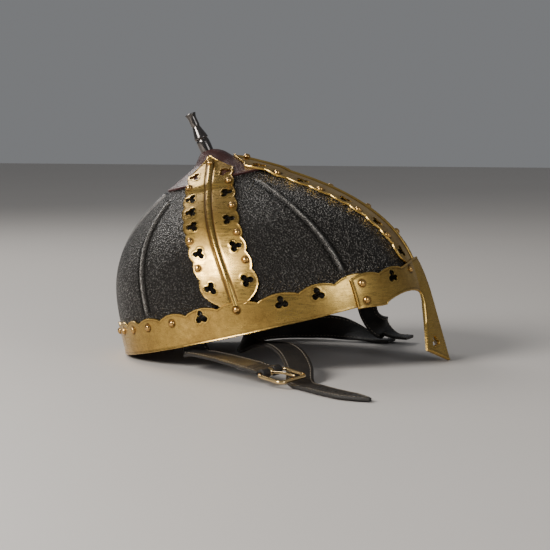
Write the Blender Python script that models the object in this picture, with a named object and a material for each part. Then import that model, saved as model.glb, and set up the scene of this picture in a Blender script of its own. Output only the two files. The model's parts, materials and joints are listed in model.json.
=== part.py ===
"""Riveted knight's helmet with a nose guard, four skull plates, brass bands, a plume holder,
a leather lining and a buckled chin strap, lying on a table.

Metres, +Z up, forward is +X.  The helmet is drawn in its own frame (rim plane z = 0) under the
empty "helmet_pose", which leans it back until the rear rim and the tip of the nose guard touch
z = 0.  The straps lie on the table in world coordinates.
"""
import math

import bmesh
import bpy
import numpy as np
from mathutils import Matrix, Vector

MM = 0.001

# ---- skull form (helmet frame)
RIM_HALF_LENGTH = 118.0 * MM    # rim centre to the front or rear edge of the skull
RIM_HALF_WIDTH = 98.0 * MM
SKULL_HEIGHT = 137.0 * MM       # rim plane to the crown point
CROWN_BACK = 20.0 * MM          # crown point behind the rim centre
FRONT_CURVE = (2.4, 1.02)       # roundness and sharpness of each profile
REAR_CURVE = (4.0, 1.4)
SIDE_CURVE = (3.0, 1.2)
PLATE_WALL = 1.5 * MM
SKULL_TOP = 130.0 * MM          # the plates stop here, under the cap
RIB_ANGLE = 47.5                # embossed ribs, degrees from straight ahead
REAR_RIB_ANGLE = 129.5
RIB_HEIGHT = 1.4 * MM
RIB_WIDTH = 5.0 * MM
JOIN_GAP = 0.4 * MM             # between plates that butt
FIT = 0.3 * MM                  # clearance between pieces that lie on each other

# ---- sheet pieces over the skull
SHEET = 1.2 * MM                # brass sheet
BROW_HEIGHT = 23.4 * MM
SCALLOP = 1.6 * MM
SEAM_ANGLE = 46.6               # where the face plate starts, degrees from straight ahead
SEAM_LAP = 9.0                  # degrees the brow band runs on under the face plate
BAND_HALF_WIDTH = 21.5 * MM
BAND_RIDGE = 1.2 * MM
BAND_TOP = 131.5 * MM
BAND_LIMIT = 42.0               # degrees, so that neighbouring bands stay apart at the crown
BACK_STRIP_WIDTH = 9.0 * MM
CAP_EDGE = 115.0 * MM
CAP_TOP = 135.4 * MM
CAP_HOLE = 3.4 * MM

# ---- face plate and nose guard
PLATE_HEIGHT = 23.0 * MM
EYE_RISE = 5.0 * MM             # how far each eye notch climbs into the plate
EYE_INNER = 6.5                 # degrees from straight ahead, inner and outer ends of the notch
EYE_OUTER = 33.0
EYE_MARGIN = 0.8 * MM           # plates behind the notch stay this much above its edge
NASAL_DROP = 59.0 * MM          # rim plane down to the tip
NASAL_REACH = 128.5 * MM        # tip ahead of the rim centre
NASAL_ROOT_HALF = 12.5 * MM
NASAL_END_HALF = 21.0 * MM
NASAL_CORNER_RISE = 12.0 * MM   # lower corners above the tip
NASAL_CREASE = 5.0 * MM
NASAL_SHEET = 1.8 * MM

# ---- plume holder
FINIAL_HEIGHT = 27.0 * MM
FINIAL_RADIUS = 5.0 * MM
FINIAL_LEAN = 12.0              # degrees back from the helmet's own axis
FINIAL_BORE = 2.3 * MM
FINIAL_BORE_DEPTH = 17.0 * MM
STEM_RADIUS = 2.6 * MM
NUT_ACROSS = 10.0 * MM
NUT_HEIGHT = 4.0 * MM
WASHER_RADIUS = 8.0 * MM

# ---- rivets
RIVET_RADIUS = 3.0 * MM
RIVET_HEIGHT = 2.0 * MM

# ---- lining
SWEATBAND_WALL = 2.0 * MM
SWEATBAND_GAP = 1.0 * MM        # to the inside of the skull plates
SWEATBAND_LOW = 3.0 * MM
SWEATBAND_HEIGHT = 30.0 * MM
PETAL_COUNT = 6
PETAL_TOP = 104.0 * MM
PETAL_WALL = 1.6 * MM
PETAL_GAP = 1.2 * MM            # lining to skull at the foot of each petal
PETAL_SAG = 11.0 * MM           # how far the tips hang in from the skull
LACE_RADIUS = 1.4 * MM

# ---- straps and buckle
STRAP_WIDTH = 19.5 * MM
STRAP_WALL = 2.5 * MM
NEAR_ROOT_ANGLE = -112.0        # degrees round the rim, the wearer's right is negative
FAR_ROOT_ANGLE = 58.0
ROOT_TOP = 22.0 * MM
ROOT_BOTTOM = 2.0 * MM
WIRE = 1.3 * MM                 # buckle wire radius
BUCKLE_LENGTH = 24.0 * MM       # along the strap, wire centre to wire centre
BUCKLE_SIDE_GAP = 1.2 * MM      # strap edge to the inside of the wire
BUCKLE_CORNER = 4.0 * MM
PRONG = 1.0 * MM                # prong radius
PRONG_EYE_LENGTH = 3.6 * MM
LOOP_WALL = 2.0 * MM            # leather folded round the bar

# =============================================================== helpers


def clear_scene():
    for ob in list(bpy.data.objects):
        bpy.data.objects.remove(ob, do_unlink=True)


def material(name, colour, roughness, metallic):
    mat = bpy.data.materials.new(name)
    mat.use_nodes = True
    shader = mat.node_tree.nodes["Principled BSDF"]
    shader.inputs["Base Color"].default_value = (*colour, 1.0)
    shader.inputs["Roughness"].default_value = roughness
    shader.inputs["Metallic"].default_value = metallic
    mat.diffuse_color = (*colour, 1.0)
    return mat


STEEL = ((0.045, 0.042, 0.040), 0.42, 1.0)
BRASS = ((0.47, 0.33, 0.13), 0.36, 1.0)
MAROON = ((0.060, 0.026, 0.022), 0.45, 0.4)
BRIGHT_STEEL = ((0.20, 0.19, 0.18), 0.28, 1.0)
BLACK_LEATHER = ((0.016, 0.014, 0.013), 0.55, 0.0)
TAN_LEATHER = ((0.16, 0.085, 0.045), 0.65, 0.0)


def rest_pitch():
    """Lean at which the rear rim and the nose guard's tip stand on one plane."""
    return math.atan2(NASAL_DROP, NASAL_REACH - NASAL_SHEET + rear_reach())


def rear_reach():
    return RIM_HALF_LENGTH + FIT + SHEET


def make_object(name, bm, look, parent=None, smooth=True, origin=None):
    bmesh.ops.remove_doubles(bm, verts=bm.verts, dist=1e-6)
    bmesh.ops.recalc_face_normals(bm, faces=bm.faces)
    mesh = bpy.data.meshes.new(name)
    bm.to_mesh(mesh)
    bm.free()
    if origin is not None:
        mesh.transform(Matrix.Translation(-Vector(origin)))
    if smooth:
        mesh.shade_smooth()
        mesh.set_sharp_from_angle(angle=math.radians(38.0))
    mesh.materials.append(material(name, *look))
    ob = bpy.data.objects.new(name, mesh)
    bpy.context.scene.collection.objects.link(ob)
    if origin is not None:
        ob.location = Vector(origin)
    if parent is not None:
        ob.parent = parent
    return ob


def slab(outer, inner, closed=False):
    """Closed solid between two matching grids of points (rows x columns x 3)."""
    bm = bmesh.new()
    rows, cols = outer.shape[:2]
    top = [[bm.verts.new(p) for p in row] for row in outer]
    low = [[bm.verts.new(p) for p in row] for row in inner]
    steps = cols if closed else cols - 1
    for i in range(rows - 1):
        for j in range(steps):
            k = (j + 1) % cols
            bm.faces.new((top[i][j], top[i][k], top[i + 1][k], top[i + 1][j]))
            bm.faces.new((low[i][j], low[i + 1][j], low[i + 1][k], low[i][k]))
    for j in range(steps):
        k = (j + 1) % cols
        bm.faces.new((top[0][j], low[0][j], low[0][k], top[0][k]))
        bm.faces.new((top[-1][j], top[-1][k], low[-1][k], low[-1][j]))
    if not closed:
        for i in range(rows - 1):
            bm.faces.new((top[i][0], top[i + 1][0], low[i + 1][0], low[i][0]))
            bm.faces.new((top[i][-1], low[i][-1], low[i + 1][-1], top[i + 1][-1]))
    return bm


def profile(z, curve):
    t = np.clip(z / SKULL_HEIGHT, 0.0, 1.0)
    return np.clip(1.0 - t ** curve[0], 0.0, 1.0) ** curve[1]


def section(z):
    """Centre x and the two half axes of the skull's oval at height z."""
    front = -CROWN_BACK + (RIM_HALF_LENGTH + CROWN_BACK) * profile(z, FRONT_CURVE)
    rear = -CROWN_BACK - (RIM_HALF_LENGTH - CROWN_BACK) * profile(z, REAR_CURVE)
    return (front + rear) / 2, (front - rear) / 2, RIM_HALF_WIDTH * profile(z, SIDE_CURVE)


def bare(angle, z):
    centre, half_x, half_y = section(z)
    a = np.radians(angle)
    return np.stack([centre + half_x * np.cos(a), half_y * np.sin(a), z + 0 * a], -1)


def skull(angle, z, lift=0.0):
    """Point lift above the skull's face, at an angle round it (0 ahead, +90 the wearer's left)."""
    angle, z = np.broadcast_arrays(np.asarray(angle, float), np.asarray(z, float))
    along = bare(angle + 0.2, z) - bare(angle - 0.2, z)
    z_mid = np.clip(z, 0.0, SKULL_HEIGHT - 1.5 * MM)
    up = bare(angle, z_mid + 0.3 * MM) - bare(angle, z_mid - 0.3 * MM)
    normal = np.cross(along, up)
    normal /= np.linalg.norm(normal, axis=-1, keepdims=True)
    return bare(angle, z) + normal * np.asarray(lift)[..., None]


def degrees_for(length, angle, z):
    """Degrees round the skull that cover a length of its oval near an angle."""
    step = np.linalg.norm(bare(angle + 0.5, z) - bare(angle - 0.5, z), axis=-1)
    return length / np.maximum(step, 1e-5)


def ease(x, start, end):
    t = np.clip((x - start) / (end - start), 0.0, 1.0)
    return t * t * (3.0 - 2.0 * t)


def eye_edge(angle, margin=0.0):
    """Height of the lower edge above the rim plane: two shallow notches, one over each eye."""
    off = np.abs((np.asarray(angle, float) + 180.0) % 360.0 - 180.0)
    share = np.clip((off - EYE_INNER) / (EYE_OUTER - EYE_INNER), 0.0, 1.0)
    return (EYE_RISE + margin) * np.sin(np.pi * share) ** 0.6


def over_eyes(z, angle, start=0.0):
    """Heights from a lower edge upwards, lifted clear of the notches."""
    low = np.maximum(eye_edge(angle, EYE_MARGIN), start)
    reach = 30.0 * MM
    return np.where(z < reach, low + (z - start) * (reach - low) / (reach - start), z)


# =============================================================== skull plates


def skull_plate(name, start, end, rib, pose):
    clear = BROW_HEIGHT + 3 * MM       # the rib starts above the brow band
    heights = np.concatenate([np.linspace(0.0, clear, 4),
                              np.linspace(clear, 0.86 * SKULL_TOP, 7)[1:],
                              np.linspace(0.86 * SKULL_TOP, SKULL_TOP, 4)[1:]])
    rows = []
    for z in heights:
        inset = degrees_for(JOIN_GAP / 2, np.array(start), z)
        rib_half = float(degrees_for(RIB_WIDTH / 2, np.array(rib), z))
        rib_half = min(rib_half, 0.35 * abs(rib - start), 0.35 * abs(end - rib))
        near = np.linspace(start + inset, rib - rib_half, 10 if start == 0.0 else 6)
        mid = np.array([rib - 0.5 * rib_half, rib, rib + 0.5 * rib_half])
        far = np.linspace(rib + rib_half, end - inset, 10 if end == 360.0 else 6)
        rows.append(np.concatenate([near, mid, far]))
    angles = np.array(rows)
    z = over_eyes(np.repeat(heights[:, None], angles.shape[1], axis=1), angles)
    emboss = np.zeros_like(angles)
    emboss[:, len(near):len(near) + 3] = np.array([0.75, 1.0, 0.75]) * RIB_HEIGHT
    fade = ease(z, clear, clear + 6 * MM)
    fade = fade * (1 - ease(z, CAP_EDGE - 12 * MM, CAP_EDGE - 5 * MM))
    emboss = emboss * fade
    bm = slab(skull(angles, z, emboss), skull(angles, z, emboss - PLATE_WALL))
    make_object(name, bm, STEEL, pose)


def back_strip(pose):
    heights = np.linspace(BROW_HEIGHT + SCALLOP + 2 * FIT, CAP_EDGE - 2 * FIT - 1 * MM, 12)
    half = degrees_for(BACK_STRIP_WIDTH / 2, np.full(len(heights), 180.0), heights)
    across = np.linspace(-1, 1, 5)
    angles = 180.0 + half[:, None] * across[None, :]
    z = np.repeat(heights[:, None], 5, axis=1)
    ridge = 1.0 * MM * (1 - across ** 2)[None, :]
    bm = slab(skull(angles, z, FIT + SHEET + ridge), skull(angles, z, FIT + 0 * z))
    make_object("back_strip", bm, BRIGHT_STEEL, pose)


# =============================================================== brass bands


def band(name, middle, low, half_width, pose):
    """Upright band: scalloped edges, a raised ridge, a pointed top lapped over the cap."""
    count = 18
    heights = low + (BAND_TOP - low) * (1 - (1 - np.linspace(0, 1, count)) ** 1.15)
    across = np.array([-1, -0.72, -0.36, -0.12, 0, 0.12, 0.36, 0.72, 1])
    taper = 1 - 0.18 * ease(heights, 0.55 * BAND_TOP, 0.88 * BAND_TOP)
    taper *= np.clip((BAND_TOP + 1.5 * MM - heights) / (16 * MM), 0, 1) ** 0.8
    waves = 1 + 0.035 * np.cos(np.arange(count) * math.pi)
    middles = np.full(count, middle)
    half = degrees_for(half_width * taper * waves, middles, heights)
    half = np.minimum(half, BAND_LIMIT)
    angles = middle + half[:, None] * across[None, :]
    z = np.repeat(heights[:, None], len(across), axis=1)
    ride = FIT + (SHEET + FIT) * ease(z, CAP_EDGE - 8 * MM, CAP_EDGE - 3 * MM)
    ridge = BAND_RIDGE * np.clip(1 - (np.abs(across) / 0.14) ** 2, 0, 1)[None, :]
    bm = slab(skull(angles, z, ride + SHEET + ridge), skull(angles, z, ride))
    make_object(name, bm, BRASS, pose)


def brow_top(angle):
    """Top edge of the brow band: a scallop about every thirteen degrees."""
    return BROW_HEIGHT + SCALLOP * np.cos(np.radians(angle) * 360.0 / 13.0)


def brow_band(pose):
    start = SEAM_ANGLE - SEAM_LAP
    angles = np.linspace(start, 360.0 - start, 73)
    levels = np.linspace(0.0, 1.0, 4)
    z = levels[:, None] * brow_top(angles)[None, :]
    a = np.repeat(angles[None, :], len(levels), axis=0)
    bm = slab(skull(a, z, FIT + SHEET + 0 * z), skull(a, z, FIT + 0 * z))
    make_object("brow_band", bm, BRASS, pose)


# =============================================================== face plate with nose guard


def face_lift():
    return 2 * FIT + SHEET


def face_plate(pose):
    """One sheet: a brow part, two eye notches and a creased nose guard with a pointed end."""
    angles = np.concatenate([np.linspace(-SEAM_ANGLE, -EYE_OUTER, 6),
                             np.linspace(-EYE_OUTER, -EYE_INNER, 9)[1:],
                             np.linspace(-EYE_INNER, EYE_INNER, 5)[1:-1],
                             np.linspace(EYE_INNER, EYE_OUTER, 9),
                             np.linspace(EYE_OUTER, SEAM_ANGLE, 6)[1:]])
    low = eye_edge(angles)
    high = PLATE_HEIGHT + SCALLOP * np.cos(np.radians(angles) * 360.0 / 15.0)
    high = high + 3 * MM * np.exp(-(angles / 9.0) ** 2)
    levels = np.linspace(0, 1, 4)
    z = low[None, :] + levels[:, None] * (high - low)[None, :]
    a = np.repeat(angles[None, :], len(levels), axis=0)
    crease = NASAL_CREASE * np.clip(1 - np.abs(a) / EYE_INNER, 0, 1)
    crease = crease * (1 - 0.55 * levels)[:, None]
    outer = skull(a, z, face_lift() + SHEET + crease)
    inner = skull(a, z, face_lift() + crease)
    bm = bmesh.new()
    top = [[bm.verts.new(p) for p in row] for row in outer]
    under = [[bm.verts.new(p) for p in row] for row in inner]
    rows, cols = outer.shape[:2]
    for i in range(rows - 1):
        for j in range(cols - 1):
            bm.faces.new((top[i][j], top[i][j + 1], top[i + 1][j + 1], top[i + 1][j]))
            bm.faces.new((under[i][j], under[i + 1][j], under[i + 1][j + 1], under[i][j + 1]))
    for i in range(rows - 1):
        bm.faces.new((top[i][0], top[i + 1][0], under[i + 1][0], under[i][0]))
        bm.faces.new((top[i][-1], under[i][-1], under[i + 1][-1], top[i + 1][-1]))
    for j in range(cols - 1):
        bm.faces.new((top[-1][j], top[-1][j + 1], under[-1][j + 1], under[-1][j]))
    first = int(np.argmin(np.abs(angles + EYE_INNER)))
    last = int(np.argmin(np.abs(angles - EYE_INNER)))
    for j in range(cols - 1):
        if j < first or j >= last:
            bm.faces.new((top[0][j], under[0][j], under[0][j + 1], top[0][j + 1]))
    # the nose guard carries on from the plate's lower edge between the notches
    columns = last - first + 1
    share = np.linspace(-1, 1, columns)
    root = outer[0, first:last + 1]
    root_in = inner[0, first:last + 1]
    tip = np.array([NASAL_REACH, 0.0, -NASAL_DROP])
    steps = 9
    prev, prev_in = top[0][first:last + 1], under[0][first:last + 1]
    for s in range(1, steps + 1):
        t = s / steps
        half = NASAL_ROOT_HALF + (NASAL_END_HALF - NASAL_ROOT_HALF) * t ** 1.6
        blend = ease(t, 0.0, 0.25)
        end_z = tip[2] + NASAL_CORNER_RISE * np.abs(share)
        line_x = root[columns // 2][0] + (tip[0] - root[columns // 2][0]) * t
        x = line_x - NASAL_CREASE * np.abs(share) * (0.9 + 0.5 * t)
        y = half * share
        zz = root[:, 2] + (end_z - root[:, 2]) * t
        free = np.stack([x, y, zz], -1)
        rim = np.stack([root[:, 0] + (line_x - root[columns // 2][0]), root[:, 1], zz], -1)
        out = rim * (1 - blend) + free * blend
        back = np.array([-1.0, 0.0, 0.0]) * (NASAL_SHEET * blend)
        thin = (root_in - root) * (1 - blend)
        row = [bm.verts.new(p) for p in out]
        row_in = [bm.verts.new(p) for p in out + back + thin]
        for j in range(columns - 1):
            bm.faces.new((prev[j], row[j], row[j + 1], prev[j + 1]))
            bm.faces.new((prev_in[j], prev_in[j + 1], row_in[j + 1], row_in[j]))
        bm.faces.new((prev[0], prev_in[0], row_in[0], row[0]))
        bm.faces.new((prev[-1], row[-1], row_in[-1], prev_in[-1]))
        prev, prev_in = row, row_in
    for j in range(columns - 1):
        bm.faces.new((prev[j], prev_in[j], prev_in[j + 1], prev[j + 1]))
    make_object("face_plate", bm, BRASS, pose)


# =============================================================== crown


def apex_cap(pose):
    angles = np.linspace(0, 360, 33)[:-1]
    levels = [CAP_EDGE, CAP_EDGE + 5 * MM, CAP_EDGE + 10 * MM, SKULL_TOP, SKULL_TOP + 2.5 * MM]
    outer, inner = [], []
    for z in levels:
        outer.append(skull(angles, z, FIT + SHEET))
        inner.append(skull(angles, z, FIT))
    a = np.radians(angles)
    for radius, drop in ((1.6 * CAP_HOLE, 0.5 * MM), (CAP_HOLE, 0.0)):
        ring = np.stack([-CROWN_BACK + radius * np.cos(a), radius * np.sin(a),
                         CAP_TOP - drop + 0 * a], -1)
        outer.append(ring)
        inner.append(ring - np.array([0, 0, SHEET]))
    bm = slab(np.array(outer), np.array(inner), closed=True)
    make_object("apex_cap", bm, MAROON, pose)


def turned(name, rings, look, parent, sides=20, closed_ends=True, origin=None, matrix=None):
    """Solid of revolution about Z from (radius, height) pairs, first and last on the axis."""
    bm = bmesh.new()
    loops = []
    for radius, height in rings:
        if radius < 1e-7:
            loops.append([bm.verts.new((0, 0, height))])
        else:
            loops.append([bm.verts.new((radius * math.cos(2 * math.pi * k / sides),
                                        radius * math.sin(2 * math.pi * k / sides), height))
                          for k in range(sides)])
    pairs = list(zip(loops[:-1], loops[1:]))
    if not closed_ends:
        pairs.append((loops[-1], loops[0]))
    for one, two in pairs:
        for k in range(sides):
            n = (k + 1) % sides
            if len(one) == 1:
                bm.faces.new((one[0], two[k], two[n]))
            elif len(two) == 1:
                bm.faces.new((one[k], two[0], one[n]))
            else:
                bm.faces.new((one[k], two[k], two[n], one[n]))
    if matrix is not None:
        bmesh.ops.transform(bm, matrix=matrix, verts=bm.verts)
    return make_object(name, bm, look, parent, origin=origin)


def crown_matrix():
    base = Matrix.Translation((-CROWN_BACK, 0, CAP_TOP + FIT))
    return base @ Matrix.Rotation(math.radians(-FINIAL_LEAN), 4, "Y")


def finial(pose):
    """Turned plume holder, leaning back: foot, ring, waist, ring and an open flared socket."""
    r, h = FINIAL_RADIUS, FINIAL_HEIGHT
    lift = r * math.tan(math.radians(FINIAL_LEAN))
    stem = STEM_RADIUS
    rings = [(0, -9 * MM), (stem, -9 * MM), (stem, lift), (r, lift), (r * 1.02, 0.30 * h),
             (r * 1.16, 0.33 * h), (r * 1.16, 0.37 * h), (r * 0.92, 0.40 * h),
             (r * 0.66, 0.62 * h), (r * 0.84, 0.65 * h), (r * 0.84, 0.68 * h),
             (r * 0.62, 0.71 * h), (r * 0.72, 0.90 * h), (r * 0.86, h), (FINIAL_BORE, h),
             (FINIAL_BORE, h - FINIAL_BORE_DEPTH), (0, h - FINIAL_BORE_DEPTH)]
    turned("finial", rings, BRIGHT_STEEL, pose, sides=20, matrix=crown_matrix())


def crown_fastening(pose):
    """Washer and nut on the plume holder's stem, inside the crown."""
    tilt = math.tan(math.radians(FINIAL_LEAN)) * 9 * MM
    hole = STEM_RADIUS + FIT + tilt * 0.45
    low = SKULL_TOP - 1.2 * MM
    place = Matrix.Translation((-CROWN_BACK + tilt * 0.55, 0, 0))
    turned("crown_washer", [(hole, low), (WASHER_RADIUS * 0.72, low),
                            (WASHER_RADIUS * 0.72, low + 1.2 * MM), (hole, low + 1.2 * MM)],
           BRIGHT_STEEL, pose, sides=16, closed_ends=False, matrix=place)
    turned("crown_nut", [(hole, low - FIT - NUT_HEIGHT), (NUT_ACROSS / 2, low - FIT - NUT_HEIGHT),
                         (NUT_ACROSS / 2, low - FIT), (hole, low - FIT)],
           BRIGHT_STEEL, pose, sides=6, closed_ends=False, matrix=place)


# =============================================================== rivets


def rivet(name, angle, z, seat, pose, look=BRASS, scale=1.0):
    """Domed head standing on a sheet whose face is seat above the skull."""
    point = skull(angle, z, seat + FIT)
    outward = skull(angle, z, seat + FIT + 1 * MM) - point
    turn = Vector((0, 0, 1)).rotation_difference(Vector(outward)).to_matrix().to_4x4()
    r, h = RIVET_RADIUS * scale, RIVET_HEIGHT * scale
    rings = [(0, 0), (r, 0), (r * 0.97, h * 0.35), (r * 0.72, h * 0.78), (0, h)]
    turned(name, rings, look, pose, sides=10, origin=tuple(point),
           matrix=Matrix.Translation(Vector(point)) @ turn)


def rivets(pose):
    seat = FIT + SHEET
    brow = {1: 90.0, 2: 116.8, 3: 130.0, 4: 141.2, 5: 152.0, 6: 163.0}
    for side, sign in (("right", -1), ("left", 1)):
        for k, angle in brow.items():
            rivet(f"brow_rivet_{side}_{k}", sign * angle, BROW_HEIGHT - 4.6 * MM, seat, pose)
        face = face_lift() + SHEET
        rivet(f"face_rivet_upper_{side}", sign * (SEAM_ANGLE - 4.4), 16.4 * MM, face, pose)
        rivet(f"face_rivet_lower_{side}", sign * (SEAM_ANGLE - 4.4), 3.9 * MM, face, pose, scale=0.9)
        rivet(f"face_rivet_front_{side}", sign * 11.4, 16.4 * MM, face, pose)
    rivet("brow_rivet_back", 180.0, BROW_HEIGHT - 4.6 * MM, seat, pose)
    top = FIT + SHEET + SHEET + FIT
    for name, angle in (("front_band_rivet", 0), ("side_band_rivet_right", -90),
                        ("side_band_rivet_left", 90)):
        rivet(name, angle, BAND_TOP - 5.5 * MM, top + BAND_RIDGE, pose, scale=0.85)


# =============================================================== lining


def sweatband(pose):
    angles = np.linspace(0, 360, 49)[:-1]
    heights = np.linspace(SWEATBAND_LOW, SWEATBAND_LOW + SWEATBAND_HEIGHT, 4)
    a, z = np.meshgrid(angles, heights)
    z = over_eyes(z, a, SWEATBAND_LOW)
    outer = -(PLATE_WALL + SWEATBAND_GAP)
    bm = slab(skull(a, z, outer + 0 * z), skull(a, z, outer - SWEATBAND_WALL + 0 * z), closed=True)
    make_object("sweatband", bm, TAN_LEATHER, pose)


def petals(pose):
    low = SWEATBAND_LOW + SWEATBAND_HEIGHT + FIT
    step = 360.0 / PETAL_COUNT
    for k in range(PETAL_COUNT):
        middle = step * (k + 0.5)
        t = np.linspace(0, 1, 8)
        heights = low + (PETAL_TOP - low) * t
        share = 0.47 * step * (1 - 0.35 * t ** 2)
        across = np.linspace(-1, 1, 9)
        angles = middle + share[:, None] * across[None, :]
        z = np.repeat(heights[:, None], len(across), axis=1)
        hang = PLATE_WALL + PETAL_GAP + PETAL_SAG * ease(t, 0.0, 0.8)[:, None] + 0 * z
        bm = slab(skull(angles, z, -hang), skull(angles, z, -hang - PETAL_WALL))
        make_object(f"liner_petal_{k + 1}", bm, TAN_LEATHER, pose)


def tube(name, path, radius, look, parent, sides=8, closed=False, origin=None):
    """Round wire along points; a closed path makes a ring."""
    path = np.asarray(path, float)
    n = len(path)
    if closed:
        heading = np.roll(path, -1, 0) - np.roll(path, 1, 0)
    else:
        heading = np.gradient(path, axis=0)
    heading /= np.linalg.norm(heading, axis=1, keepdims=True)
    middle = path.mean(0)
    normal = np.linalg.svd(path - middle)[2][2]
    side = np.cross(heading, normal)
    side /= np.linalg.norm(side, axis=1, keepdims=True)
    up = np.cross(side, heading)
    turn = 2 * math.pi * np.arange(sides) / sides
    bm = bmesh.new()
    loops = [[bm.verts.new(path[i] + radius * (math.cos(t) * side[i] + math.sin(t) * up[i]))
              for t in turn] for i in range(n)]
    for i in range(n if closed else n - 1):
        one, two = loops[i], loops[(i + 1) % n]
        for k in range(sides):
            bm.faces.new((one[k], one[(k + 1) % sides], two[(k + 1) % sides], two[k]))
    if not closed:
        bm.faces.new(loops[0])
        bm.faces.new(list(reversed(loops[-1])))
    return make_object(name, bm, look, parent, origin=origin)


def lace(pose):
    a = np.radians(np.linspace(0, 360, 33)[:-1])
    reach = skull(np.degrees(a), PETAL_TOP, -(PLATE_WALL + PETAL_GAP + PETAL_SAG
                                             + PETAL_WALL + FIT + LACE_RADIUS))
    tube("liner_lace", reach, LACE_RADIUS, TAN_LEATHER, pose, sides=6, closed=True)


# =============================================================== straps


def smooth_path(points, count):
    """Catmull-Rom curve through the points, evenly sampled."""
    p = np.asarray(points, float)
    p = np.vstack([2 * p[0] - p[1], p, 2 * p[-1] - p[-2]])
    out = []
    for i in range(1, len(p) - 2):
        for t in np.linspace(0, 1, 40, endpoint=False):
            out.append(0.5 * (2 * p[i] + (p[i + 1] - p[i - 1]) * t
                              + (2 * p[i - 1] - 5 * p[i] + 4 * p[i + 1] - p[i + 2]) * t ** 2
                              + (3 * p[i] - p[i - 1] - 3 * p[i + 1] + p[i + 2]) * t ** 3))
    out.append(p[-2])
    out = np.array(out)
    run = np.concatenate([[0], np.cumsum(np.linalg.norm(np.diff(out[:, :3], axis=0), axis=1))])
    at = np.linspace(0, run[-1], count)
    return np.stack([np.interp(at, run, out[:, k]) for k in range(out.shape[1])], -1)


def ribbon(name, frames, count, point_length=0.0, origin=None):
    """Flat strap through frames (centre, width direction); the end may run to a point."""
    rows = np.array([list(c) + list(w) for c, w in frames], float)
    rows[:, :3] *= MM
    fine = 8
    path = smooth_path(rows, fine * (count - 1) + 1)
    heading = np.gradient(path[:, :3], axis=0)[::fine]
    path = path[::fine]
    centre, width = path[:, :3], path[:, 3:]
    heading /= np.linalg.norm(heading, axis=1, keepdims=True)
    width = width - (width * heading).sum(1, keepdims=True) * heading
    width /= np.linalg.norm(width, axis=1, keepdims=True)
    face = np.cross(heading, width)
    half = np.full(count, STRAP_WIDTH / 2)
    if point_length:
        run = np.concatenate([[0], np.cumsum(np.linalg.norm(np.diff(centre, axis=0), axis=1))])
        left = (run[-1] - run) / point_length
        half = half * np.clip(left, 0.06, 1.0) ** 0.6
    across = np.array([-1.0, 0.0, 1.0])
    spot = centre[:, None, :] + across[None, :, None] * (half[:, None] * width)[:, None, :]
    bm = slab(spot + (face * STRAP_WALL / 2)[:, None, :], spot - (face * STRAP_WALL / 2)[:, None, :])
    make_object(name, bm, BLACK_LEATHER, origin=origin)
    return path


def strap_root(name, angle, pose):
    """Strap end riveted inside the rim over the sweatband."""
    heights = np.linspace(ROOT_BOTTOM, ROOT_TOP, 4)
    half = float(degrees_for(STRAP_WIDTH / 2, np.array(angle), 0.0))
    a, z = np.meshgrid(angle + half * np.linspace(-1, 1, 5), heights)
    face = -(PLATE_WALL + SWEATBAND_GAP + SWEATBAND_WALL + FIT)
    bm = slab(skull(a, z, face + 0 * z), skull(a, z, face - STRAP_WALL + 0 * z))
    make_object(name, bm, BLACK_LEATHER, pose)
    depth = face - STRAP_WALL - FIT
    point = skull(angle, (ROOT_BOTTOM + ROOT_TOP) / 2, depth)
    inward = skull(angle, (ROOT_BOTTOM + ROOT_TOP) / 2, depth - 1 * MM) - point
    turn = Vector((0, 0, 1)).rotation_difference(Vector(inward)).to_matrix().to_4x4()
    r, h = RIVET_RADIUS, RIVET_HEIGHT * 0.7
    turned(name.replace("root", "rivet"), [(0, 0), (r, 0), (r * 0.8, h * 0.7), (0, h)],
           BRASS, pose, sides=10, matrix=Matrix.Translation(Vector(point)) @ turn)


# buckle frame in the world: bar centre, bar direction, length direction
BAR = (32.0, -151.0, 9.2)
BAR_DIRECTION = (0.56, 0.82, 0.12)
FRAME_FALL = -0.12              # downward share of the frame's length direction

DRAWN_WIDTH = 19.5              # strap, half rim width and near root that the routes are drawn for
DRAWN_RIM = 98.0
DRAWN_BACK = -31.5              # furthest back that a strap on edge clears the rim
NEAR_START = (-41.4, -85.1, 19.4)
NEAR_FRAMES = [((-38.6, -88.4, 13.2), (0.93, -0.15, 0.05)),
               ((-34.5, -93.2, 12.6), (0.88, 0.35, 0.05)),
               ((-27.0, -99.8, 12.9), (0.76, 0.64, 0.05)),
               ((-8.0, -116.0, 12.4), (0.63, 0.77, 0.08)),
               ((12.0, -134.0, 11.2), (0.58, 0.81, 0.11))]

LOOP_FRAMES = [((78.0, 96.0, 1.6), (0.10, 1.0, 0.0)),
               ((64.0, 98.0, 1.7), (0.10, 1.0, 0.02)),
               ((46.0, 102.5, 6.9), (0.10, 0.80, 0.55)),
               ((28.0, 106.0, 10.3), (0.0, 0.30, 0.95)),
               ((6.0, 107.0, 10.2), (0.0, 0.05, 1.0)),
               ((-14.0, 101.0, 10.2), (0.0, 0.0, 1.0)),
               ((-27.0, 84.0, 10.2), (0.0, 0.0, 1.0)),
               ((-32.0, 58.0, 10.2), (0.0, 0.0, 1.0)),
               ((-30.0, 28.0, 10.4), (0.25, 0.0, 0.95)),
               ((-22.0, -4.0, 10.6), (0.60, 0.1, 0.78)),
               ((-8.0, -36.0, 11.5), (0.85, 0.25, 0.40)),
               ((8.0, -62.0, 16.5), (0.94, 0.30, 0.12)),
               ((24.0, -86.0, 19.5), (0.96, 0.24, 0.02)),
               ((38.0, -108.0, 16.5), (0.97, 0.14, -0.02)),
               ((48.0, -128.0, 9.0), (0.98, 0.10, 0.0)),
               ((52.0, -144.0, 2.6), (0.97, 0.24, 0.0)),
               ((57.5, -158.5, 1.7), (0.85, 0.50, 0.0)),
               ((66.0, -168.0, 1.7), (0.75, 0.66, 0.0))]
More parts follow.
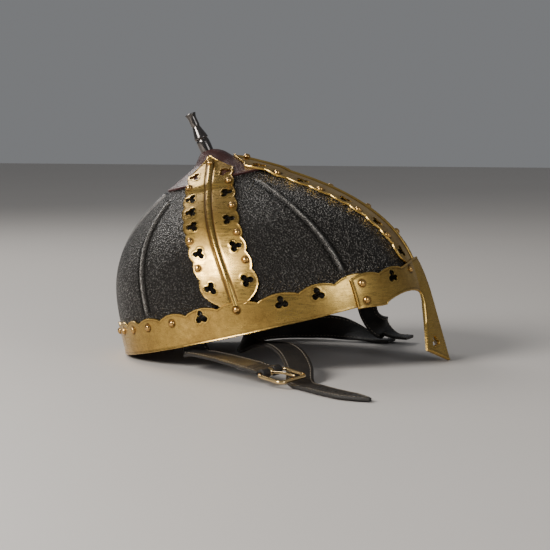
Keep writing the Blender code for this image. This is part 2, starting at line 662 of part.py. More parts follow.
TIP_FRAMES = [((66.4, -168.45, 1.7), (0.75, 0.66, 0.0)),
              ((80.0, -183.7, 1.7), (0.73, 0.68, 0.0)),
              ((97.0, -199.5, 1.7), (0.68, 0.73, 0.0)),
              ((114.0, -212.0, 1.7), (0.62, 0.78, 0.0))]
TIP_PIVOT = (66.2, -168.22, 1.7)


def to_world(point):
    """Helmet frame to world, as the pose empty places it."""
    pitch = rest_pitch()
    x, y, z = point
    return np.array([x * math.cos(pitch) - z * math.sin(pitch), y,
                     x * math.sin(pitch) + z * math.cos(pitch) + rear_reach() * math.sin(pitch)])


def fitted(frames):
    """Route of a strap on the table, moved with the rim's width, its lean and the strap's width.

    Where the strap stands on its edge its middle rises with half the extra width, the far side
    follows the rim outwards, and the rearmost part comes forward until it fits under the rim.
    """
    width = STRAP_WIDTH / MM
    room = (width + 1.0) / math.sin(rest_pitch()) - rear_reach() / MM
    forward = max(0.0, room - DRAWN_BACK)
    out = []
    for (x, y, z), side in frames:
        stand = abs(side[2]) / np.linalg.norm(side)
        x += forward * float(np.clip((30.0 - x) / 60.0, 0.0, 1.0))
        y *= RIM_HALF_WIDTH / MM / DRAWN_RIM if y > 0 else 1.0
        out.append(((x, y, z + stand * (width - DRAWN_WIDTH) / 2), side))
    return out


def strap_start(angle, below=2 * FIT):
    """World point, in millimetres, under a strap's root, on its middle plane."""
    face = PLATE_WALL + SWEATBAND_GAP + SWEATBAND_WALL + FIT + STRAP_WALL / 2
    rim = skull(angle, 0.0, -face)
    return to_world(rim + np.array([0, 0, ROOT_BOTTOM - below])) / MM


def rim_direction(angle, sign):
    """World direction along the rim at an angle round it."""
    step = to_world(skull(angle + 1, 0.0, 0.0)) - to_world(skull(angle - 1, 0.0, 0.0))
    return tuple(sign * step / np.linalg.norm(step))


def straps(pose):
    strap_root("near_strap_root", NEAR_ROOT_ANGLE, pose)
    strap_root("far_strap_root", FAR_ROOT_ANGLE, pose)

    start = strap_start(FAR_ROOT_ANGLE)
    side = rim_direction(FAR_ROOT_ANGLE, -1)
    spare = STRAP_WIDTH / MM - DRAWN_WIDTH
    drop = [(start, side),
            (strap_start(FAR_ROOT_ANGLE, 6 * MM), side),
            (start * (1, 1, 0.4) + np.array([4.0, 6.0, 6.5 + spare]), (0.80, -0.45, 0.2))]
    drop += fitted([((71.5 + spare, 99.5, 10.0 + spare), (0.45, 0.85, 0.1)),
                    ((80.0, 97.0, 5.6), (0.10, 0.99, 0.0)),
                    ((93.0, 95.0, 4.8), (0.05, 1.0, 0.0))])
    ribbon("far_strap_drop", drop, 18)
    ribbon("loop_strap", fitted(LOOP_FRAMES), 56)
    ribbon("strap_tip", TIP_FRAMES, 14, point_length=22 * MM, origin=np.array(TIP_PIVOT) * MM)

    start = strap_start(NEAR_ROOT_ANGLE)
    bar, side, along, _ = buckle_axes()
    stop = (bar - along * (WIRE + 2 * FIT + LOOP_WALL + FIT)) / MM
    fall = stop - along * 14.0
    side_root = rim_direction(NEAR_ROOT_ANGLE, 1)
    frames = [(start, side_root), (strap_start(NEAR_ROOT_ANGLE, 4 * MM), side_root)]
    moved = start - np.array(NEAR_START)
    whole = np.linalg.norm(stop - np.array(NEAR_START))
    for point, width in NEAR_FRAMES:
        run = np.linalg.norm(np.array(point) - NEAR_START)
        frames.append((np.array(point) + moved * max(0.0, 1.0 - run / whole), width))
    frames += [(fall, tuple(side)), (stop, tuple(side))]
    ribbon("near_strap", frames, 24, origin=start * MM)


def buckle_axes():
    bar = np.array(BAR) * MM
    side = np.array(BAR_DIRECTION)
    side /= np.linalg.norm(side)
    along = np.array([side[1], -side[0], 0.0])
    along /= np.linalg.norm(along)
    along = along + np.array([0, 0, FRAME_FALL])
    along -= side * (along @ side)
    along /= np.linalg.norm(along)
    up = np.cross(along, side)
    return bar, side, along, up


def buckle():
    bar, side, along, up = buckle_axes()
    half = STRAP_WIDTH / 2 + BUCKLE_SIDE_GAP + WIRE
    c = BUCKLE_CORNER
    path = []
    for cx, cy, start in ((BUCKLE_LENGTH - c, half - c, 0), (c, half - c, 90),
                          (c, -half + c, 180), (BUCKLE_LENGTH - c, -half + c, 270)):
        for k in range(5):
            t = math.radians(start + 22.5 * k)
            path.append((cx + c * math.cos(t), cy + c * math.sin(t)))
    points = [bar + along * px + side * py for px, py in path]
    tube("buckle_frame", points, WIRE, BRASS, None, sides=8, closed=True, origin=bar)

    # prong: an eye round the bar and a straight pin lying on the far side of the frame
    frame = Matrix((Vector(side), Vector(along), Vector(up))).transposed().to_4x4()
    place = Matrix.Translation(Vector(bar)) @ frame
    bm = bmesh.new()
    inner, outer = WIRE + FIT, WIRE + FIT + 1.3 * MM
    sides = 12
    loops = []
    for radius, shift in ((inner, -1), (outer, -1), (outer, 1), (inner, 1)):
        loops.append([bm.verts.new((shift * PRONG_EYE_LENGTH / 2,
                                    radius * math.cos(2 * math.pi * k / sides),
                                    radius * math.sin(2 * math.pi * k / sides)))
                      for k in range(sides)])
    for q in range(4):
        one, two = loops[q], loops[(q + 1) % 4]
        for k in range(sides):
            bm.faces.new((one[k], two[k], two[(k + 1) % sides], one[(k + 1) % sides]))
    bmesh.ops.transform(bm, matrix=place, verts=bm.verts)
    eye = make_object("buckle_prong", bm, BRASS, None, origin=tuple(bar))
    # pin: from inside the eye's wall, rising over the far bar
    rise = WIRE + PRONG + FIT
    start = bar + along * (inner + 0.5 * MM) + up * 0.4 * MM
    end = bar + along * (BUCKLE_LENGTH + WIRE) + up * (rise + 0.25 * MM)
    middle = bar + along * (BUCKLE_LENGTH - 2.5 * MM) + up * rise
    pin_path = np.array([start, start * 0.6 + middle * 0.4 + up * 0.3 * MM, middle, end])
    pin = tube("pin_cutter", pin_path, PRONG, BRASS, None, sides=8, origin=tuple(bar))
    union = eye.modifiers.new("pin", "BOOLEAN")
    union.operation = "UNION"
    union.object = pin
    pin.hide_render = True
    pin.display_type = "WIRE"

    # the strap's end folded round the bar, either side of the prong
    for name, shift in (("near_strap_fold_lower", -1), ("near_strap_fold_upper", 1)):
        inner_end = PRONG_EYE_LENGTH / 2 + FIT
        outer_end = STRAP_WIDTH / 2 - 0.6 * MM
        bm = bmesh.new()
        r0, r1 = WIRE + FIT, WIRE + FIT + LOOP_WALL
        sides = 12
        loops = []
        for radius, reach in ((r0, inner_end), (r1, inner_end), (r1, outer_end), (r0, outer_end)):
            loops.append([bm.verts.new((shift * reach, radius * math.cos(2 * math.pi * k / sides),
                                        radius * math.sin(2 * math.pi * k / sides)))
                          for k in range(sides)])
        for q in range(4):
            one, two = loops[q], loops[(q + 1) % 4]
            for k in range(sides):
                bm.faces.new((one[k], two[k], two[(k + 1) % sides], one[(k + 1) % sides]))
        bmesh.ops.transform(bm, matrix=place, verts=bm.verts)
        make_object(name, bm, BLACK_LEATHER, None)


# =============================================================== build


def main():
    clear_scene()
    pose = bpy.data.objects.new("helmet_pose", None)
    bpy.context.scene.collection.objects.link(pose)
    pitch = rest_pitch()
    pose.rotation_euler = (0.0, -pitch, 0.0)
    pose.location = (0.0, 0.0, rear_reach() * math.sin(pitch))

    skull_plate("skull_plate_front_left", 0.0, 90.0, RIB_ANGLE, pose)
    skull_plate("skull_plate_rear_left", 90.0, 180.0, REAR_RIB_ANGLE, pose)
    skull_plate("skull_plate_rear_right", 180.0, 270.0, 360.0 - REAR_RIB_ANGLE, pose)
    skull_plate("skull_plate_front_right", 270.0, 360.0, 360.0 - RIB_ANGLE, pose)
    back_strip(pose)
    side_low = BROW_HEIGHT + SCALLOP + 2 * FIT
    band("side_band_right", -90.0, side_low, BAND_HALF_WIDTH, pose)
    band("side_band_left", 90.0, side_low, BAND_HALF_WIDTH, pose)
    band("front_band", 0.0, PLATE_HEIGHT - 6 * MM, BAND_HALF_WIDTH + 2 * MM, pose)
    brow_band(pose)
    face_plate(pose)
    apex_cap(pose)
    finial(pose)
    crown_fastening(pose)
    rivets(pose)
    sweatband(pose)
    petals(pose)
    lace(pose)
    straps(pose)
    buckle()
    bpy.context.view_layer.update()

    # the origin goes to the middle of the footprint, on the table
    low = Vector((1e9,) * 3)
    high = Vector((-1e9,) * 3)
    for ob in bpy.data.objects:
        if ob.type == "MESH" and not ob.hide_render:
            for corner in ob.data.vertices:
                w = ob.matrix_world @ corner.co
                low = Vector(map(min, low, w))
                high = Vector(map(max, high, w))
    root = bpy.data.objects.new("helmet", None)
    bpy.context.scene.collection.objects.link(root)
    for ob in bpy.data.objects:
        if ob.parent is None and ob is not root:
            ob.parent = root
    root.location = (-(low.x + high.x) / 2, -(low.y + high.y) / 2, -low.z)
    bpy.context.view_layer.update()


main()
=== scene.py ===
"""Knight's helmet with a nose guard, pierced brass bands and a buckled chin strap.

Lengths are in metres.  The helmet's own frame has its rim plane at z = 0, forward along +X and
the wearer's left along +Y; place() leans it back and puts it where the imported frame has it.
"""
import json
import math

import bpy
import numpy as np
from bpy.props import FloatProperty, FloatVectorProperty, PointerProperty
from bpy.types import Operator, Panel, PropertyGroup
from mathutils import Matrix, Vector


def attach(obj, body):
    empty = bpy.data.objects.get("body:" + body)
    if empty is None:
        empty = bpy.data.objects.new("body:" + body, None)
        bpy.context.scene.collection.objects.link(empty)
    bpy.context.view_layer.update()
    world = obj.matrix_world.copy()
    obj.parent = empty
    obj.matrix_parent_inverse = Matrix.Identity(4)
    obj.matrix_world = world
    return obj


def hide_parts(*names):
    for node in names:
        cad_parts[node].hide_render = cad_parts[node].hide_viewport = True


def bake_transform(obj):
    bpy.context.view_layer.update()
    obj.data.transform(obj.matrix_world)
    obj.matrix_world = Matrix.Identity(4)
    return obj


bl_info = {
    "name": "Knight's helmet",
    "version": (1, 0, 0),
    "blender": (4, 5, 0),
    "location": "3D View > Sidebar > Helmet",
    "description": "Builds a riveted helmet with brass bands, a nose guard and a buckled strap",
    "category": "Object",
}

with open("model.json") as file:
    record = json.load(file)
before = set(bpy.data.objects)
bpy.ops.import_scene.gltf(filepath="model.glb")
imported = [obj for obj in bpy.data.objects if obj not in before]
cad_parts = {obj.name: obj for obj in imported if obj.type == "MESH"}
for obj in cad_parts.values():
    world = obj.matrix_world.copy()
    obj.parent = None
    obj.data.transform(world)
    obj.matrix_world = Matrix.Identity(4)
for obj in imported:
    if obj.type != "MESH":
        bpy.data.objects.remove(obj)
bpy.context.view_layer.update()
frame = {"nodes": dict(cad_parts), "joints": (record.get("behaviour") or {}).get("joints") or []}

MM = 0.001

# skull form, the same as the solids'
HALF_LENGTH, HALF_WIDTH, HEIGHT, CROWN_BACK = 118 * MM, 98 * MM, 137 * MM, 20 * MM
FRONT_CURVE, REAR_CURVE, SIDE_CURVE = (2.4, 1.02), (4.0, 1.4), (3.0, 1.2)
WALL, SHEET, FIT = 1.5 * MM, 1.2 * MM, 0.3 * MM
SKULL_TOP, CAP_EDGE, CAP_TOP, CROWN_TOP = 130 * MM, 115 * MM, 135.4 * MM, 140.2 * MM
RIB, REAR_RIB = 47.5, 129.5
SEAM = 46.6
EYE_RISE, EYE_INNER, EYE_OUTER = 5 * MM, 6.5, 33.0
NASAL_DROP, NASAL_REACH, NASAL_SHEET = 59 * MM, 128.5 * MM, 1.8 * MM
NASAL_ROOT, NASAL_END, NASAL_CORNER, CREASE = 12.5 * MM, 22.5 * MM, 13 * MM, 5 * MM
REAR = HALF_LENGTH + FIT + SHEET
LEAN = math.atan2(NASAL_DROP, NASAL_REACH - NASAL_SHEET + REAR)

# straps and buckle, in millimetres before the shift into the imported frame
BAR, BAR_DIRECTION, BAR_FALL = (32.0, -151.0, 9.2), (0.56, 0.82, 0.12), -0.12
JOINTS = {j["name"]: j for j in frame["joints"]}
SHIFT = np.array(JOINTS["buckle_swing"]["pos_m"]) - np.array(BAR) * MM
NEAR_ROOT, FAR_ROOT = -112.0, 58.0
ROOT_LOW, ROOT_HIGH = 2 * MM, 22 * MM


# ================================================================ settings


def length(name, description, default):
    """Length property with enough digits for tenths of a millimetre."""
    return FloatProperty(name=name, description=description, default=default, unit="LENGTH",
                         precision=5)


def colour(name, description, default):
    """Colour property."""
    return FloatVectorProperty(name=name, description=description, subtype="COLOR",
                               default=default, min=0, max=1)


class HelmetSizes(PropertyGroup):
    """Sizes of the relief, the holes, the rivets and the leather"""
    lip: length("Edge lip", "Height of the raised edge of the brass", 0.35 * MM)
    ridge: length("Band ridge", "Height of the bead down each band", 1.3 * MM)
    rib: length("Skull rib", "Height of the embossed ribs", 1.5 * MM)
    cell: length("Cell", "Grid spacing of the pierced sheets", 0.6 * MM)
    lobe: length("Trefoil lobe", "Radius of each disc of a trefoil", 2.35 * MM)
    rivet: length("Rivet radius", "Radius of the rivet heads", 2.7 * MM)
    strap: length("Strap width", "Width of the leather straps", 19.5 * MM)
    leather: length("Strap thickness", "Thickness of the leather straps", 2.5 * MM)
    stitch: length("Stitch pitch", "Distance from stitch to stitch", 3.2 * MM)


class HelmetColours(PropertyGroup):
    """Base colours of the materials"""
    brass: colour("Brass", "Rubbed brass", (0.60, 0.385, 0.105))
    patina: colour("Patina", "Brown patina in the brass", (0.155, 0.078, 0.020))
    # The high-spot colour stands partly for a painted highlight on the pebble tops.
    steel: colour("Steel", "High spots of the pebbled steel", (0.20, 0.188, 0.172))
    scale: colour("Black scale", "Low spots of the pebbled steel", (0.022, 0.020, 0.018))
    cap: colour("Crown cap", "Maroon finish of the crown cap", (0.050, 0.017, 0.015))
    strap: colour("Strap leather", "Black leather", (0.012, 0.0105, 0.0095))
    lining: colour("Lining leather", "Brown leather inside", (0.16, 0.085, 0.045))


class HelmetStage(PropertyGroup):
    """Floor, lights and camera"""
    floor: colour("Floor", "Colour of the floor", (0.52, 0.49, 0.46))
    key: FloatProperty(name="Key light", description="Power of the main soft light",
                       default=44.0, unit="POWER")
    fill: FloatProperty(name="Fill light", description="Power of the fill light",
                        default=6.0, unit="POWER")
    azimuth: FloatProperty(name="Azimuth", description="Camera turn round the helmet",
                           default=math.radians(12.78), subtype="ANGLE")
    pitch: FloatProperty(name="Pitch", description="Camera tilt downwards",
                         default=math.radians(5.35), subtype="ANGLE")
    lens: FloatProperty(name="Lens", description="Focal length in millimetres", default=126.2)


def sizes():
    """Size settings of the current scene."""
    return bpy.context.scene.helmet_sizes


def colours():
    """Colour settings of the current scene."""
    return bpy.context.scene.helmet_colours


# ================================================================ skull formulas


def profile(z, curve):
    """(1 - (z / height) ^ n) ^ m: 1 at the rim and 0 at the crown."""
    t = np.clip(z / HEIGHT, 0.0, 1.0)
    return np.clip(1.0 - t ** curve[0], 0.0, 1.0) ** curve[1]


def bare(angle, z):
    """Oval section at height z, its front, rear and side profiles each on their own curve."""
    front = -CROWN_BACK + (HALF_LENGTH + CROWN_BACK) * profile(z, FRONT_CURVE)
    rear = -CROWN_BACK - (HALF_LENGTH - CROWN_BACK) * profile(z, REAR_CURVE)
    a = np.radians(angle)
    return np.stack([(front + rear) / 2 + (front - rear) / 2 * np.cos(a),
                     HALF_WIDTH * profile(z, SIDE_CURVE) * np.sin(a), z + 0 * a], -1)


def skull(angle, z, lift=0.0):
    """Point lift above the skull along its normal, which is the cross product of two steps."""
    angle, z = np.broadcast_arrays(np.asarray(angle, float), np.asarray(z, float))
    along = bare(angle + 0.2, z) - bare(angle - 0.2, z)
    middle = np.clip(z, 0.0, HEIGHT - 1.5 * MM)
    up = bare(angle, middle + 0.3 * MM) - bare(angle, middle - 0.3 * MM)
    return bare(angle, z) + unit(np.cross(along, up)) * np.asarray(lift)[..., None]


def degrees_for(length, angle, z):
    """Degrees round the oval that cover a length near an angle."""
    step = np.linalg.norm(bare(angle + 0.5, z) - bare(angle - 0.5, z), axis=-1)
    return length / np.maximum(step, 1e-5)


def place(points):
    """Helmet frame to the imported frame: a turn about Y by the resting lean, then a shift."""
    c, s = math.cos(LEAN), math.sin(LEAN)
    x, y, z = np.moveaxis(np.asarray(points, float), -1, 0)
    return np.stack([x * c - z * s, y, x * s + z * c + REAR * s], -1) + SHIFT


def crown_swell(z):
    """Extra height of the cap, and of the bands on it, close to the crown."""
    return 4.0 * MM * ease(z, 127 * MM, 134 * MM)


def ease(x, start, end):
    """Smooth step: 3 t^2 - 2 t^3 between start and end."""
    t = np.clip((x - start) / (end - start), 0.0, 1.0)
    return t * t * (3.0 - 2.0 * t)


def hill(x, width):
    """exp(-(x / width)^2)."""
    return np.exp(-(x / width) ** 2)


def lobes(x, bounds, low, rise):
    """Scalloped edge: a line through the valleys plus half a cosine on every lobe."""
    bounds = np.asarray(bounds, float)
    k = np.clip(np.searchsorted(bounds, x, side="right") - 1, 0, len(bounds) - 2)
    s = 2 * (x - bounds[k]) / (bounds[k + 1] - bounds[k]) - 1
    rise = np.broadcast_to(rise, len(bounds) - 1)
    return np.interp(x, bounds, low) + rise[k] * np.clip(np.cos(s * np.pi / 2), 0, 1) ** 0.75


def eye_edge(angle):
    """Lower edge over the eyes: height * sin(pi * share) ^ 0.6 between two angles."""
    off = np.abs((np.asarray(angle, float) + 180.0) % 360.0 - 180.0)
    share = np.clip((off - EYE_INNER) / (EYE_OUTER - EYE_INNER), 0.0, 1.0)
    return EYE_RISE * np.sin(np.pi * share) ** 0.6


def over_eyes(z, angle, start=0.0):
    """Heights from a lower edge upwards, lifted clear of the eye notches."""
    low = np.maximum(eye_edge(angle) + 0.8 * MM * (eye_edge(angle) > 0), start)
    reach = 30 * MM
    return np.where(z < reach, low + (z - start) * (reach - low) / (reach - start), z)


# ================================================================ mesh making


def unit(vectors):
    """Vectors along the last axis, each made one long."""
    return vectors / np.linalg.norm(vectors, axis=-1, keepdims=True)


def run_along(points):
    """Distance along a path from its first point to each point."""
    return np.concatenate([[0], np.cumsum(np.linalg.norm(np.diff(points, axis=0), axis=1))])


def along_path(at, run, columns):
    """A path's columns at distances along it."""
    return np.stack([np.interp(at, run, column) for column in columns.T], -1)


def lids(sides, last):
    """End polygons of a tube; last is the first index of its last ring."""
    lid = np.arange(sides)[None, :]
    return [lid[:, ::-1], lid + last]


def grid_faces(rows, cols, round_cols=False, round_rows=False):
    """Quads of a grid, counter-clockwise where columns run right and rows run up."""
    i = np.arange(rows if round_rows else rows - 1)[:, None]
    j = np.arange(cols if round_cols else cols - 1)[None, :]
    k, m = (j + 1) % cols, (i + 1) % rows
    return np.stack([i * cols + j, i * cols + k, m * cols + k, m * cols + j], -1).reshape(-1, 4)


def thick(outer, inner, faces):
    """Closed wall: the outer faces, the same turned round inside, and a strip on open edges.

    An edge is open where no face runs along it the other way.
    """
    outer, inner = outer.reshape(-1, 3), inner.reshape(-1, 3)
    n = len(outer)
    edges = np.concatenate([np.stack([f, np.roll(f, -1, 1)], -1).reshape(-1, 2) for f in faces])
    open_edge = edges[~np.isin(edges[:, 0] * n + edges[:, 1], edges[:, 1] * n + edges[:, 0])]
    a, b = open_edge.T
    strip = np.stack([b, a, a + n, b + n], -1)
    return np.concatenate([outer, inner]), faces + [f[:, ::-1] + n for f in faces] + [strip]


def put(name, points, faces, look, body="helmet", nodes=(), values=None, sharp=40.0):
    """Mesh object at the origin from points, face arrays and named values on the points."""
    points = np.asarray(points, float).reshape(-1, 3)
    used = np.unique(np.concatenate([f.ravel() for f in faces]))
    remap = np.full(len(points), -1)
    remap[used] = np.arange(len(used))
    mesh = bpy.data.meshes.new(name)
    mesh.from_pydata(points[used].tolist(), [], [r for f in faces for r in remap[f].tolist()])
    for key, value in (values or {}).items():
        data = mesh.attributes.new(key, "FLOAT", "POINT")
        data.data.foreach_set("value", np.ravel(value)[used].astype(np.float32))
    mesh.validate()
    mesh.shade_smooth()
    mesh.set_sharp_from_angle(angle=math.radians(sharp))
    mesh.materials.append(look)
    ob = bpy.data.objects.new(name, mesh)
    bpy.context.scene.collection.objects.link(ob)
    if body:
        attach(ob, body)
    if nodes:
        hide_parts(*nodes)
    return ob


def twice(values):
    """The same point values for the outer and inner sides of a wall."""
    return {key: np.concatenate([np.ravel(v), np.ravel(v)]) for key, v in values.items()}


TREFOIL_REACH, TREFOIL_MIDDLE = 1.18, 0.75


def discs(holes, lobe):
    """Middle and radius of each disc: three round a trefoil's middle and a smaller one on it."""
    for x, y, heading in holes:
        for turn in (0, 120, 240):
            a = math.radians(heading + turn)
            yield (x + TREFOIL_REACH * lobe * math.cos(a), y + TREFOIL_REACH * lobe * math.sin(a),
                   lobe)
        yield x, y, TREFOIL_MIDDLE * lobe


def pierce(across, up, holes, lobe):
    """Trefoil holes: distance to the nearest outline, and grid points pulled onto it.

    holes lists each trefoil's middle and heading: across, up, degrees.
    """
    gap = np.full(across.shape, 1.0)
    for x, y, radius in discs(holes, lobe):
        gap = np.minimum(gap, np.hypot(across - x, up - y) - radius)
    near = np.abs(gap) < 0.5 * sizes().cell
    best = np.full(across.shape, 1.0)
    new_x, new_y = across, up
    for x, y, radius in discs(holes, lobe):
        away = np.hypot(across - x, up - y)
        win = near & (away - radius < best)
        scale = radius / np.maximum(away, 1e-6)
        new_x = np.where(win, x + (across - x) * scale, new_x)
        new_y = np.where(win, y + (up - y) * scale, new_y)
        best = np.minimum(best, away - radius)
    return new_x, new_y, gap, near


def keep_faces(rows, cols, gap, near):
    """Faces left after piercing: whole quads outside, and triangles where one corner is inside."""
    quads = grid_faces(rows, cols)
    inside = ((gap < 0) & ~near).ravel()[quads]
    snapped = near.ravel()[quads]
    middle = gap.ravel()[quads].mean(1)
    count = inside.sum(1)
    whole = (count == 0) & ~(snapped.all(1) & (middle < 0))
    corner = (count == 1) & (~inside & ~snapped).any(1)
    cut, miss = quads[corner], inside[corner].argmax(1)
    order = (miss[:, None] + np.arange(1, 4)[None, :]) % 4
    return [quads[whole], np.take_along_axis(cut, order, 1)]


# ================================================================ node groups and materials


def group(name, inputs, outputs):
    """New shader node group with named sockets; returns it with its input and output nodes."""
    tree = bpy.data.node_groups.new(name, "ShaderNodeTree")
    for label, kind, default in inputs:
        socket = tree.interface.new_socket(label, in_out="INPUT", socket_type=kind)
        if default is not None:
            socket.default_value = default
    for label, kind in outputs:
        tree.interface.new_socket(label, in_out="OUTPUT", socket_type=kind)
    return tree, tree.nodes.new("NodeGroupInput"), tree.nodes.new("NodeGroupOutput")


def feed(tree, socket, value):
    """Give an input socket another node's output, a number or an RGB triple."""
    if hasattr(value, "links"):
        tree.links.new(value, socket)
    elif isinstance(value, (int, float)):
        socket.default_value = value
    else:
        socket.default_value = (*value, 1.0)


def texture(tree, kind, vector, scale, **settings):
    """Procedural texture node at a scale, with its other sockets and properties set."""
    node = tree.nodes.new(kind)
    tree.links.new(vector, node.inputs["Vector"])
    feed(tree, node.inputs["Scale"], scale)
    for key, value in settings.items():
        if key in node.inputs:
            node.inputs[key].default_value = value
        else:
            setattr(node, key, value)
    return node


def maths(tree, operation, one, two=None, three=None, clamp=False):
    """Math node on sockets or numbers; returns its output."""
    node = tree.nodes.new("ShaderNodeMath")
    node.operation = operation
    node.use_clamp = clamp
    for socket, value in zip(node.inputs, (one, two, three)):
        if value is not None:
            feed(tree, socket, value)
    return node.outputs[0]


def span(tree, value, low, high, out_low=0.0, out_high=1.0):
    """Map Range node; returns its output."""
    node = tree.nodes.new("ShaderNodeMapRange")
    tree.links.new(value, node.inputs["Value"])
    for slot, number in zip(("From Min", "From Max", "To Min", "To Max"),
                            (low, high, out_low, out_high)):
        node.inputs[slot].default_value = number
    return node.outputs["Result"]


def blend_colour(tree, share, one, two, mode="MIX"):
    """Mix of two colours, each a socket or an RGB triple, by a share."""
    node = tree.nodes.new("ShaderNodeMix")
    node.data_type = "RGBA"
    node.blend_type = mode
    # a colour mix has its factor on input 0, its colours on 6 and 7 and its result on output 2
    for index, value in ((0, share), (6, one), (7, two)):
        feed(tree, node.inputs[index], value)
    return node.outputs[2]


def patina_group():
    """Worn metal: patches of patina, bright edges (rubbed wear with a painted highlight), darkening
    (soiling with painted shade) and a fine pitted height.
    """
    tree, given, out = group("Worn brass and painted light", [
        ("Vector", "NodeSocketVector", None), ("Bright", "NodeSocketColor", None),
        ("Patina", "NodeSocketColor", None), ("Edge", "NodeSocketFloat", 0.0),
        ("Grime", "NodeSocketFloat", 0.0), ("Amount", "NodeSocketFloat", 0.5)],
        [("Colour", "NodeSocketColor"), ("Roughness", "NodeSocketFloat"),
         ("Height", "NodeSocketFloat")])
    v = given.outputs["Vector"]
    cloud = texture(tree, "ShaderNodeTexNoise", v, 38.0, Detail=6.0, Roughness=0.62)
    mottle = texture(tree, "ShaderNodeTexNoise", v, 260.0, Detail=5.0, Roughness=0.7)
    fine = texture(tree, "ShaderNodeTexNoise", v, 1500.0, Detail=3.0, Roughness=0.6)
    pits = texture(tree, "ShaderNodeTexVoronoi", v, 420.0, Randomness=1.0)
    stretch = tree.nodes.new("ShaderNodeVectorMath")
    stretch.operation = "MULTIPLY"
    tree.links.new(v, stretch.inputs[0])
    stretch.inputs[1].default_value = (0.12, 0.12, 1.0)
    rub = texture(tree, "ShaderNodeTexNoise", stretch.outputs[0], 900.0, Detail=4.0, Roughness=0.65)
    patch = maths(tree, "ADD", span(tree, cloud.outputs["Fac"], 0.36, 0.66),
                  span(tree, mottle.outputs["Fac"], 0.38, 0.68, -0.30, 0.34))
    patch = maths(tree, "MULTIPLY", patch, given.outputs["Amount"])
    patch = maths(tree, "ADD", patch, span(tree, fine.outputs["Fac"], 0.40, 0.66, -0.12, 0.14))
    # Less patina where the edge value is high: rubbed wear with a painted highlight.
    patch = maths(tree, "SUBTRACT", patch, maths(tree, "MULTIPLY", given.outputs["Edge"], 0.85))
    # More patina where the darkening value is high: soiling with painted shade.
    patch = maths(tree, "ADD", patch, maths(tree, "MULTIPLY", given.outputs["Grime"], 0.9),
                  clamp=True)
    colour = blend_colour(tree, patch, given.outputs["Bright"], given.outputs["Patina"])
    pit = span(tree, pits.outputs["Distance"], 0.05, 0.22, 0.55, 0.0)
    pit = maths(tree, "MULTIPLY", pit, span(tree, cloud.outputs["Fac"], 0.50, 0.62), clamp=True)
    colour = blend_colour(tree, pit, colour, (0.10, 0.055, 0.022))
    # Brown-black where the darkening value is high: painted shade, with soiling.
    deep = maths(tree, "MULTIPLY", given.outputs["Grime"], 0.8, clamp=True)
    colour = blend_colour(tree, deep, colour, (0.055, 0.032, 0.014))
    rough = span(tree, patch, 0.0, 1.0, 0.25, 0.50)
    rough = maths(tree, "ADD", rough, span(tree, rub.outputs["Fac"], 0.35, 0.65, -0.05, 0.07))
    height = maths(tree, "MULTIPLY", rub.outputs["Fac"], 0.14)
    height = maths(tree, "ADD", height, maths(tree, "MULTIPLY", mottle.outputs["Fac"], 0.8))
    height = maths(tree, "SUBTRACT", height, maths(tree, "MULTIPLY", pit, 0.5))
    tree.links.new(colour, out.inputs["Colour"])
    tree.links.new(rough, out.inputs["Roughness"])
    tree.links.new(height, out.inputs["Height"])
    return tree


def pebble_group():
    """Pebbled skin: rounded cells of two sizes; the mask is high on their tops."""
    tree, given, out = group("Pebble", [
        ("Vector", "NodeSocketVector", None), ("Scale", "NodeSocketFloat", 800.0)],
        [("Mask", "NodeSocketFloat"), ("Height", "NodeSocketFloat")])
    v, scale = given.outputs["Vector"], given.outputs["Scale"]
    warp = texture(tree, "ShaderNodeTexNoise", v, 700.0, Detail=2.0)
    shift = tree.nodes.new("ShaderNodeVectorMath")
    shift.operation = "MULTIPLY_ADD"
    tree.links.new(warp.outputs["Color"], shift.inputs[0])
    shift.inputs[1].default_value = (0.0009, 0.0009, 0.0009)
    tree.links.new(v, shift.inputs[2])
    cells = texture(tree, "ShaderNodeTexVoronoi", shift.outputs[0], scale, feature="SMOOTH_F1",
                    Smoothness=0.35, Randomness=1.0)
    small = texture(tree, "ShaderNodeTexNoise", v, maths(tree, "MULTIPLY", scale, 1.35),
                    Detail=3.0, Roughness=0.65)
    top = span(tree, cells.outputs["Distance"], 0.12, 0.62, 1.0, 0.0)
    grain = span(tree, small.outputs["Fac"], 0.34, 0.66)
    height = maths(tree, "ADD", maths(tree, "MULTIPLY", top, 0.75),
                   maths(tree, "MULTIPLY", grain, 0.25))
    tree.links.new(span(tree, height, 0.30, 0.90), out.inputs["Mask"])
    tree.links.new(height, out.inputs["Height"])
    return tree


def hide_group():
    """Leather: creased grain cells, pores and slow wear."""
    tree, given, out = group("Leather grain", [
        ("Vector", "NodeSocketVector", None), ("Scale", "NodeSocketFloat", 900.0)],
        [("Grain", "NodeSocketFloat"), ("Wear", "NodeSocketFloat"),
         ("Height", "NodeSocketFloat")])
    v, scale = given.outputs["Vector"], given.outputs["Scale"]
    cells = texture(tree, "ShaderNodeTexVoronoi", v, scale, feature="DISTANCE_TO_EDGE")
    folds = texture(tree, "ShaderNodeTexNoise", v, maths(tree, "MULTIPLY", scale, 0.30),
                    Detail=5.0, Roughness=0.6)
    wear = texture(tree, "ShaderNodeTexNoise", v, 55.0, Detail=4.0, Roughness=0.6)
    grain = span(tree, cells.outputs["Distance"], 0.0, 0.16)
    height = maths(tree, "ADD", maths(tree, "MULTIPLY", grain, 0.5),
                   maths(tree, "MULTIPLY", folds.outputs["Fac"], 0.7))
    tree.links.new(grain, out.inputs["Grain"])
    tree.links.new(span(tree, wear.outputs["Fac"], 0.38, 0.66), out.inputs["Wear"])
    tree.links.new(height, out.inputs["Height"])
    return tree


def shared(name, maker):
    """Node group by name, made the first time it is asked for."""
    return bpy.data.node_groups.get(name) or maker()


def start_material(name):
    """New material: its tree, its shader and its Object coordinates."""
    mat = bpy.data.materials.new(name)
    mat.use_nodes = True
    tree = mat.node_tree
    coords = tree.nodes.new("ShaderNodeTexCoord").outputs["Object"]
    return mat, tree, tree.nodes["Principled BSDF"], coords


